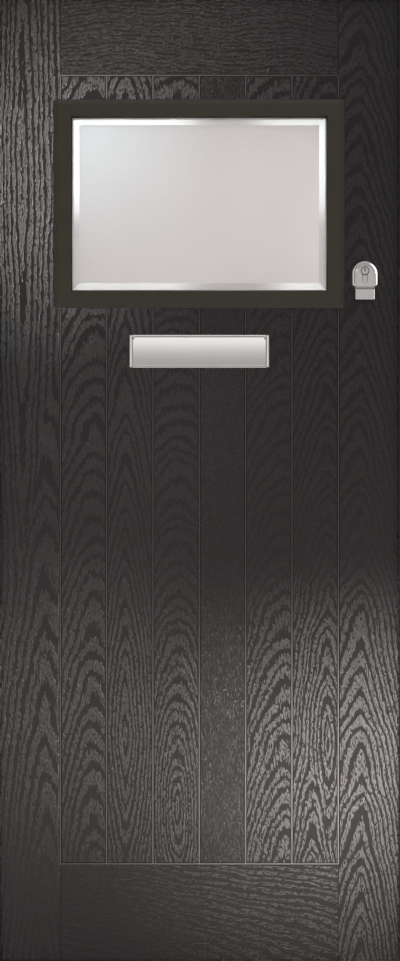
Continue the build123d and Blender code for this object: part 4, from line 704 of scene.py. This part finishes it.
def skin_openings():
    """Boxes in x and z that the letterplate, the cylinder and its two bolts take out of a skin."""
    lock_x = (BODY_LOW[0] + BODY_HIGH[0]) / 2
    bolt_z = (BOLTS_LOW[2] + BOLTS_HIGH[2]) / 2
    slot_x = (TUNNEL_LOW[0] - SLOT_MARGIN, TUNNEL_HIGH[0] + SLOT_MARGIN)
    body_x = (BODY_LOW[0] - HOLE_MARGIN, BODY_HIGH[0] + HOLE_MARGIN)
    body_z = (BODY_LOW[2] - HOLE_MARGIN, BODY_HIGH[2] + HOLE_MARGIN)
    openings = [(*slot_x, TUNNEL_LOW[2], TUNNEL_HIGH[2]), (*body_x, *body_z)]
    for way in (-1, 1):
        bolt_x = lock_x + way * BOLT_REACH
        openings.append((bolt_x - BOLT_HALF, bolt_x + BOLT_HALF, bolt_z - BOLT_HALF, bolt_z + BOLT_HALF))
    return openings


def skin_boards(side):
    """The boards of one skin: two stiles, two rails and the planks above and below the glass."""
    sizes = look()
    panel_x = SIGHT_X - sizes.stile_face
    panel = (SIGHT_FOOT + sizes.bottom_rail_face, SIGHT_TOP - sizes.top_rail_face)
    rail_x = (-panel_x, panel_x)
    foot, top = SKIN_LOW[2], SKIN_HIGH[2]
    glass_foot = CASSETTE_LOW[2] + APERTURE_MARGIN
    glass_top = CASSETTE_HIGH[2] - APERTURE_MARGIN
    plans = [
        ("hinge_stile", "hinge_stile", (SKIN_LOW[0], -panel_x), (foot, top),
         ("arris", "stile", "arris", "arris")),
        ("lock_stile", "lock_stile", (panel_x, SKIN_HIGH[0]), (foot, top),
         ("stile", "arris", "arris", "arris")),
        ("bottom_rail", "bottom_rail", rail_x, (foot, panel[0]), ("scribe", "scribe", "arris", "groove")),
        ("top_rail", "top_rail", rail_x, (panel[1], top), ("scribe", "scribe", "groove", "arris")),
    ]
    pitch = 2 * panel_x / sizes.plank_count
    for plank in range(sizes.plank_count):
        low_x = -panel_x + plank * pitch
        span = (low_x, low_x + pitch)
        figure = f"plank_{plank % DRAWN_FIGURES + 1}"
        plans += [
            (f"lower_plank_{plank + 1}", figure, span, (panel[0], glass_foot),
             ("groove", "groove", "groove", "cut")),
            (f"upper_plank_{plank + 1}", figure, span, (glass_top, panel[1]),
             ("groove", "groove", "cut", "groove")),
        ]
    openings = skin_openings()
    for name, figure, x_span, z_span, edges in plans:
        board(f"{side}_{name}_board", x_span, z_span, edges, openings, side == "inner", panel, figure)


class DOOR_OT_outer_boards(bpy.types.Operator):
    """Makes the grained boards of the street side"""

    bl_idname = "door.outer_boards"
    bl_label = "Street side boards"

    def execute(self, context):
        skin_boards("outer")
        return {"FINISHED"}


class DOOR_OT_inner_boards(bpy.types.Operator):
    """Makes the grained boards of the room side"""

    bl_idname = "door.inner_boards"
    bl_label = "Room side boards"

    def execute(self, context):
        skin_boards("inner")
        return {"FINISHED"}


class DOOR_OT_leaf_core(bpy.types.Operator):
    """Finishes the timber and the foam inside the leaf"""

    bl_idname = "door.leaf_core"
    bl_label = "Leaf core"

    def execute(self, context):
        dress(sawn_timber(), "hinge_stile", "lock_stile", "top_rail", "bottom_rail")
        foam = plain_finish(
            "rigid_foam", (0.78, 0.68, 0.42), roughness=0.9, variation=0.1, speckle=0.8,
            relief=0.0002,
        )
        dress(foam, "foam_core")
        return {"FINISHED"}


class DOOR_OT_frame_finish(bpy.types.Operator):
    """Finishes the frame, its stops, threshold and seals"""

    bl_idname = "door.frame_finish"
    bl_label = "Frame and seals"

    def execute(self, context):
        dress(grained("jamb"), "hinge_jamb", "lock_jamb", "hinge_stop", "lock_stop")
        dress(grained("head"), "head_member", "head_stop")
        metal = brushed_finish(
            "anodised_threshold", (0.62, 0.61, 0.60), roughness=0.38, lines=(60, 0.5, 0.5)
        )
        dress(metal, "threshold")
        rubber = plain_finish(
            "seal_rubber", (0.018, 0.018, 0.018), roughness=0.62, variation=0.15, speckle=0.7,
            relief=0.00008,
        )
        dress(rubber, "frame_seal", "foot_seal", "outer_gasket", "inner_gasket")
        return {"FINISHED"}


class DOOR_OT_glazed_light(bpy.types.Operator):
    """Finishes the cassettes and the glass"""

    bl_idname = "door.glazed_light"
    bl_label = "Glazed light"

    def execute(self, context):
        cassette = plain_finish(
            "cassette_moulding", tuple(look().cassette_colour), roughness=0.42, variation=0.04,
            speckle=0.9, relief=0.00002,
        )
        dress(cassette, "outer_cassette", "inner_cassette")
        dress(clear_glass(), "bevelled_pane")
        dress(obscured_glass(), "inner_pane")
        dress(plain_finish("spacer_bar_finish", (0.30, 0.30, 0.30), roughness=0.5), "spacer_bar")
        dress(plain_finish("packer_plastic", (0.10, 0.20, 0.42), roughness=0.5), "glazing_packers")
        return {"FINISHED"}


class DOOR_OT_letterplate(bpy.types.Operator):
    """Finishes the letterplate, its flaps and the tunnel through the leaf"""

    bl_idname = "door.letterplate"
    bl_label = "Letterplate"

    def execute(self, context):
        dress(
            part_finish("satin_steel"), "letterplate_frame", "inner_letter_frame", "letterplate_flap",
            "inner_letter_flap",
        )
        dress(plain_finish("tunnel_plastic", (0.03, 0.03, 0.03), roughness=0.5), "letter_tunnel")
        return {"FINISHED"}


class DOOR_OT_cylinder_set(bpy.types.Operator):
    """Finishes the cylinder, its pull and the room side furniture"""

    bl_idname = "door.cylinder_set"
    bl_label = "Cylinder and pull"

    def execute(self, context):
        dress(part_finish("polished_steel"), "cylinder_pull", "thumbturn")
        colour = tuple(look().steel_colour)
        satin = brushed_finish("satin_escutcheon", colour, roughness=0.3, lines=(0.4, 0.4, 14))
        dress(satin, "inner_escutcheon")
        dress(nickel("nickel_cylinder"), "cylinder_cam")
        dress(keyed_nickel(), "cylinder_plug")
        dress(ringed_nickel(), "cylinder_body")
        return {"FINISHED"}


class DOOR_OT_lock_and_hinges(bpy.types.Operator):
    """Finishes the lock, its keeps, the hinges and the screws"""

    bl_idname = "door.lock_and_hinges"
    bl_label = "Lock and hinges"

    def execute(self, context):
        faceplate = brushed_finish(
            "faceplate_steel", (0.66, 0.65, 0.64), roughness=0.32, lines=(0.4, 0.4, 18)
        )
        dress(faceplate, "faceplate", "latch_keep", "hook_keeps")
        zinc = brushed_finish("zinc_plate", (0.55, 0.55, 0.54), roughness=0.4, lines=(3, 3, 3))
        dress(
            zinc, "lock_case", "hook_cases", "latch_bolt", "upper_hook", "lower_hook", "upper_rod",
            "lower_rod",
        )
        hinge = part_finish("hinge_steel")
        for place in ("upper", "middle", "lower"):
            dress(hinge, f"{place}_hinge_frame_plate", f"{place}_hinge_leaf_plate")
        dress(hinge, "hinge_pins")
        screws = brushed_finish("screw_steel", (0.6, 0.6, 0.59), roughness=0.34, lines=(1.5, 1.5, 1.5))
        dress(
            screws, "keep_screws", "hinge_frame_screws", "hinge_leaf_screws", "cassette_screws",
            "letterplate_bolts", "pull_bolts", "edge_screws", "flap_pins",
        )
        return {"FINISHED"}


# Stage

PHOTO_HEIGHT = 961  # pixels, from the threshold to the head stop
VIEW_SHIFT = 0.7  # pixels that the camera stands to the lock side
CAMERA_DISTANCE = 8.0
FILM_HEIGHT = 36.0  # mm, the camera's longer side
VIEW_REACH = 100.0
FLOOR_HALF = 40.0
WORLD_COLOUR = (1.0, 0.96, 0.95, 1.0)
WORLD_RISE = (0.15, 0.9, 0.185, 0.58)  # range of a direction's height, and the strength it gives in front
WORLD_TURN = (-0.45, 0.4)  # of a direction's depth, from the strength in front to the full one behind
WHITE = (1.0, 1.0, 1.0)
STRIP_FADE = 0.15
STRIP_COLOUR = (0.93, 1.0, 0.985)
POOL_COLOUR = (1.0, 0.95, 0.935)
POOL_SOFTNESS = 0.25  # radius of the lamp that throws a pool

# Strips that show in the glass and its bevels. Where two overlap they stand at different distances, because
# of two lamps in one plane the glass mirrors only one.
STRIPS = (
    # name, x, distance, z, width, height, share of the radiance
    ("left", -1.55, 4.0, 2.55, 0.8, 1.5, 1.5),
    ("right", 1.55, 4.0, 2.55, 0.8, 1.5, 1.1),
    ("top_left", -0.81, 4.0, 3.3, 1.71, 0.7, 1.5),
    ("top_right", 0.95, 4.0, 3.3, 1.66, 0.7, 1.1),
    ("foot_left", -0.82, 4.0, 0.5, 1.74, 0.6, 0.65),
    ("foot_right", 1.01, 4.0, 0.5, 1.7, 0.6, 0.85),
    ("low_left", -1.58, 4.1, 1.43, 0.8, 1.2, 0.20),
    ("low_right", 1.58, 4.1, 1.43, 0.8, 1.2, 0.18),
    ("top_middle", 0.09, 4.1, 3.38, 0.42, 0.7, 0.26),
)
PANELS = (
    # name, place, aim, width, height, radiance, fade, colour, what it lights
    ("pull_panel", (0.6, -7.0, 1.5), (0.6, 0.0, 1.5), 3.4, 3.9, 0.37, 0.6, WHITE, "pull"),
    ("pull_low", (0.4, -3.0, 0.25), (0.34, 0.0, 1.4), 1.8, 1.2, 1.7, 0.3, WHITE, "pull"),
    ("pull_key", (2.4, -2.0, 2.7), (0.34, 0.0, 1.46), 2.4, 2.6, 4.0, 0.4, WHITE, "pull"),
    ("pull_fill", (-2.0, -1.8, 1.7), (0.34, 0.0, 1.46), 1.8, 2.6, 0.85, 0.5, WHITE, "pull"),
    ("pull_side", (3.0, -1.4, 1.6), (0.34, 0.0, 1.46), 1.6, 2.6, 4.2, 0.4, WHITE, "pull"),
    ("plate_panel", (0.0, -6.0, 2.85), (0.0, 0.0, 2.85), 4.0, 2.9, 2.85, 0.95, WHITE, "plate"),
    ("plate_low", (0.0, -7.0, 1.35), (0.0, 0.0, 1.35), 4.0, 1.8, 0.57, 0.5, WHITE, "plate"),
    ("glass_glow", (-0.55, -8.3, 2.55), (-0.2, 0.0, 1.7), 1.35, 1.35, 3.1, 0.67, (0.66, 0.94, 1.0), "glass"),
    ("glass_sheen", (0.8, -8.3, 1.8), (0.3, 0.0, 1.4), 1.0, 1.6, 2.2, 0.45, WHITE, "glass"),
    ("room_light", (0.0, 3.2, 2.0), (0.0, 0.0, 1.6), 2.0, 2.0, 1.6, 0.0, WHITE, "all"),
)
POOLS = (
    # name, place, aim, half width, energy
    ("lock_side", (1.3, -1.8, 0.9), (0.29, 0.0, 0.37), 0.295, 1000.0),
    ("foot_lock", (1.2, -2.0, 0.9), (0.09, 0.0, 0.41), 0.26, 215.0),
    ("foot_middle", (0.9, -2.0, 0.8), (-0.14, 0.0, 0.48), 0.25, 92.0),
    ("foot_hinge", (0.4, -1.8, 0.7), (-0.38, 0.0, 0.53), 0.255, 92.0),
    ("middle_hinge", (0.2, -2.0, 1.3), (-0.36, 0.0, 1.08), 0.44, 8.0),
    ("hinge_side", (0.6, -1.8, 1.5), (-0.39, 0.0, 1.655), 0.235, 590.0),
    ("head", (0.8, -2.0, 1.4), (-0.17, 0.0, 1.95), 0.32, 215.0),
)


def fade_edges(data, fade):
    """Lets an area light fade towards its edges, over that many metres."""
    data.use_nodes = True
    tree = data.node_tree
    parametric = add_node(tree, "NewGeometry").outputs["Parametric"]
    parts = add_node(tree, "SeparateXYZ", {0: parametric}).outputs
    near = [calc(tree, "MINIMUM", part, calc(tree, "SUBTRACT", 1.0, part)) for part in parts[:2]]
    sizes = (data.size, data.size_y)
    fades = [spread(tree, distance, 0.0, min(fade / size, 0.5)) for distance, size in zip(near, sizes)]
    tree.links.new(calc(tree, "MULTIPLY", *fades), tree.nodes["Emission"].inputs["Strength"])


def stand_lamp(data, place, aim, receivers):
    """Stands a lamp at a place, turned to an aim and hidden from the camera.

    It lights its receivers alone, or everything if there are none.
    """
    lamp = bpy.data.objects.new(data.name, data)
    bpy.context.scene.collection.objects.link(lamp)
    lamp.location = place
    way = np.subtract(aim, place)
    tilt = math.atan2(math.hypot(way[0], way[1]), -way[2])
    lamp.rotation_euler = (tilt, 0.0, math.atan2(-way[0], way[1]))
    lamp.visible_camera = False
    lamp.light_linking.receiver_collection = receivers
    return lamp


def softbox(name, place, aim, width, height, radiance, fade, colour, receivers):
    """A soft rectangular light. Its energy is its radiance times pi times its area."""
    data = bpy.data.lights.new(name, "AREA")
    data.shape = "RECTANGLE"
    data.size = width
    data.size_y = height
    data.energy = radiance * math.pi * width * height
    data.color = colour
    if fade:
        fade_edges(data, fade)
    stand_lamp(data, place, aim, receivers)


def pool(name, place, aim, half_width, energy, receivers, blockers):
    """A soft round pool of light on the receivers, from a spot that only the blockers can shade."""
    data = bpy.data.lights.new(name, "SPOT")
    reach = float(np.linalg.norm(np.subtract(aim, place)))
    data.spot_size = 2 * math.atan(half_width / reach)
    data.spot_blend = 1.0
    data.color = POOL_COLOUR
    data.energy = energy
    data.shadow_soft_size = POOL_SOFTNESS
    lamp = stand_lamp(data, place, aim, receivers)
    lamp.light_linking.blocker_collection = blockers


def gathered(name, pieces):
    """A collection of pieces that lights are linked to, outside the scene's own collections."""
    group = bpy.data.collections.new(name)
    for piece in pieces:
        group.objects.link(piece)
    return group


def add_camera():
    """The camera looks straight at the leaf and takes in what shows between the stops."""
    view_height = SIGHT_TOP - SIGHT_FOOT
    data = bpy.data.cameras.new("camera")
    data.sensor_width = FILM_HEIGHT
    data.lens = FILM_HEIGHT * CAMERA_DISTANCE / view_height
    data.clip_end = VIEW_REACH
    camera = bpy.data.objects.new("camera", data)
    bpy.context.scene.collection.objects.link(camera)
    shift = VIEW_SHIFT * view_height / PHOTO_HEIGHT
    camera.location = (shift, SKIN_LOW[1] - CAMERA_DISTANCE, (SIGHT_TOP + SIGHT_FOOT) / 2)
    camera.rotation_euler = (math.pi / 2, 0.0, 0.0)
    bpy.context.scene.camera = camera


def add_floor():
    """A plain pale floor under the threshold."""
    corners = [(x * FLOOR_HALF, y * FLOOR_HALF, 0) for x, y in ((-1, -1), (1, -1), (1, 1), (-1, 1))]
    mesh = bpy.data.meshes.new("floor")
    mesh.from_pydata(corners, [], [(0, 1, 2, 3)])
    paint = plain_finish(
        "floor_paint", tuple(look().floor_colour), roughness=0.8, variation=0.01, speckle=3.0,
        relief=0.00002,
    )
    mesh.materials.append(paint)
    floor = bpy.data.objects.new("floor", mesh)
    bpy.context.scene.collection.objects.link(floor)


def add_world():
    """Soft grey light all round: bright in the room behind, dim in front and brighter above."""
    world = bpy.data.worlds.new("studio")
    bpy.context.scene.world = world
    world.use_nodes = True
    tree = world.node_tree
    way = add_node(tree, "SeparateXYZ", {0: add_node(tree, "TexCoord").outputs["Generated"]}).outputs
    front = spread(tree, way[2], *WORLD_RISE)
    behind = spread(tree, way[1], *WORLD_TURN)
    strength = calc(tree, "MULTIPLY_ADD", behind, calc(tree, "SUBTRACT", 1.0, front), front)
    tree.links.new(strength, tree.nodes["Background"].inputs["Strength"])
    tree.nodes["Background"].inputs["Color"].default_value = WORLD_COLOUR


def add_lights():
    """Strips and panels in front of the glass and the metal, and pools raking over the grain.

    The strips stand round a gap like a window and light the glass alone. The pools come from the lock side
    and light the boards alone, and neither the stops nor the jambs shade them, as the leaf in the
    photograph stands without a frame.
    """
    radiance = look().softbox_radiance
    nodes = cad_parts
    groups = {
        "glass": ("bevelled_pane",),
        "pull": ("cylinder_pull", "cylinder_body", "cylinder_plug"),
        "plate": ("letterplate_frame", "letterplate_flap"),
    }
    lit = {key: gathered(key + "_pieces", [nodes[name] for name in names]) for key, names in groups.items()}
    meshes = [obj for obj in bpy.context.scene.objects if obj.type == "MESH"]
    boards = gathered("board_pieces", [obj for obj in meshes if obj.name.endswith("_board")])
    fixed = {nodes[name] for name in ("hinge_stop", "lock_stop", "head_stop", "hinge_jamb", "lock_jamb")}
    blockers = gathered("leaf_pieces", [obj for obj in meshes if obj not in fixed])
    for name, x, distance, z, width, height, share in STRIPS:
        softbox(
            name + "_strip", (x, -distance, z), (x, 0.0, z), width, height, share * radiance, STRIP_FADE,
            STRIP_COLOUR, lit["glass"],
        )
    for *settings, target in PANELS:
        softbox(*settings, lit.get(target))
    for name, place, aim, half_width, energy in POOLS:
        pool(name + "_pool", place, aim, half_width, energy, boards, blockers)


class DOOR_OT_stage(bpy.types.Operator):
    """Sets the floor, the lights, the world and the camera"""

    bl_idname = "door.stage"
    bl_label = "Stage"

    def execute(self, context):
        add_camera()
        add_floor()
        add_world()
        add_lights()
        context.scene.view_settings.view_transform = "Standard"
        return {"FINISHED"}


OPERATORS = (
    DOOR_OT_outer_boards,
    DOOR_OT_inner_boards,
    DOOR_OT_leaf_core,
    DOOR_OT_frame_finish,
    DOOR_OT_glazed_light,
    DOOR_OT_letterplate,
    DOOR_OT_cylinder_set,
    DOOR_OT_lock_and_hinges,
    DOOR_OT_stage,
)


class DOOR_PT_panel(bpy.types.Panel):
    """Lists the door's pieces and its stage"""

    bl_idname = "DOOR_PT_panel"
    bl_label = "Front door"
    bl_space_type = "VIEW_3D"
    bl_region_type = "UI"
    bl_category = "Front door"

    def draw(self, context):
        for name in DoorLook.__annotations__:
            self.layout.prop(context.scene.door_look, name)
        for operator in OPERATORS:
            self.layout.operator(operator.bl_idname)


def register():
    for made in (DoorLook, *OPERATORS, DOOR_PT_panel):
        bpy.utils.register_class(made)
    bpy.types.Scene.door_look = bpy.props.PointerProperty(type=DoorLook)


def unregister():
    del bpy.types.Scene.door_look
    for made in (DOOR_PT_panel, *reversed(OPERATORS), DoorLook):
        bpy.utils.unregister_class(made)


def main():
    """Registers the add-on and makes every piece and the stage in order."""
    register()
    for operator in OPERATORS:
        getattr(bpy.ops.door, operator.bl_idname.split(".")[1])()


if __name__ == "__main__":
    main()
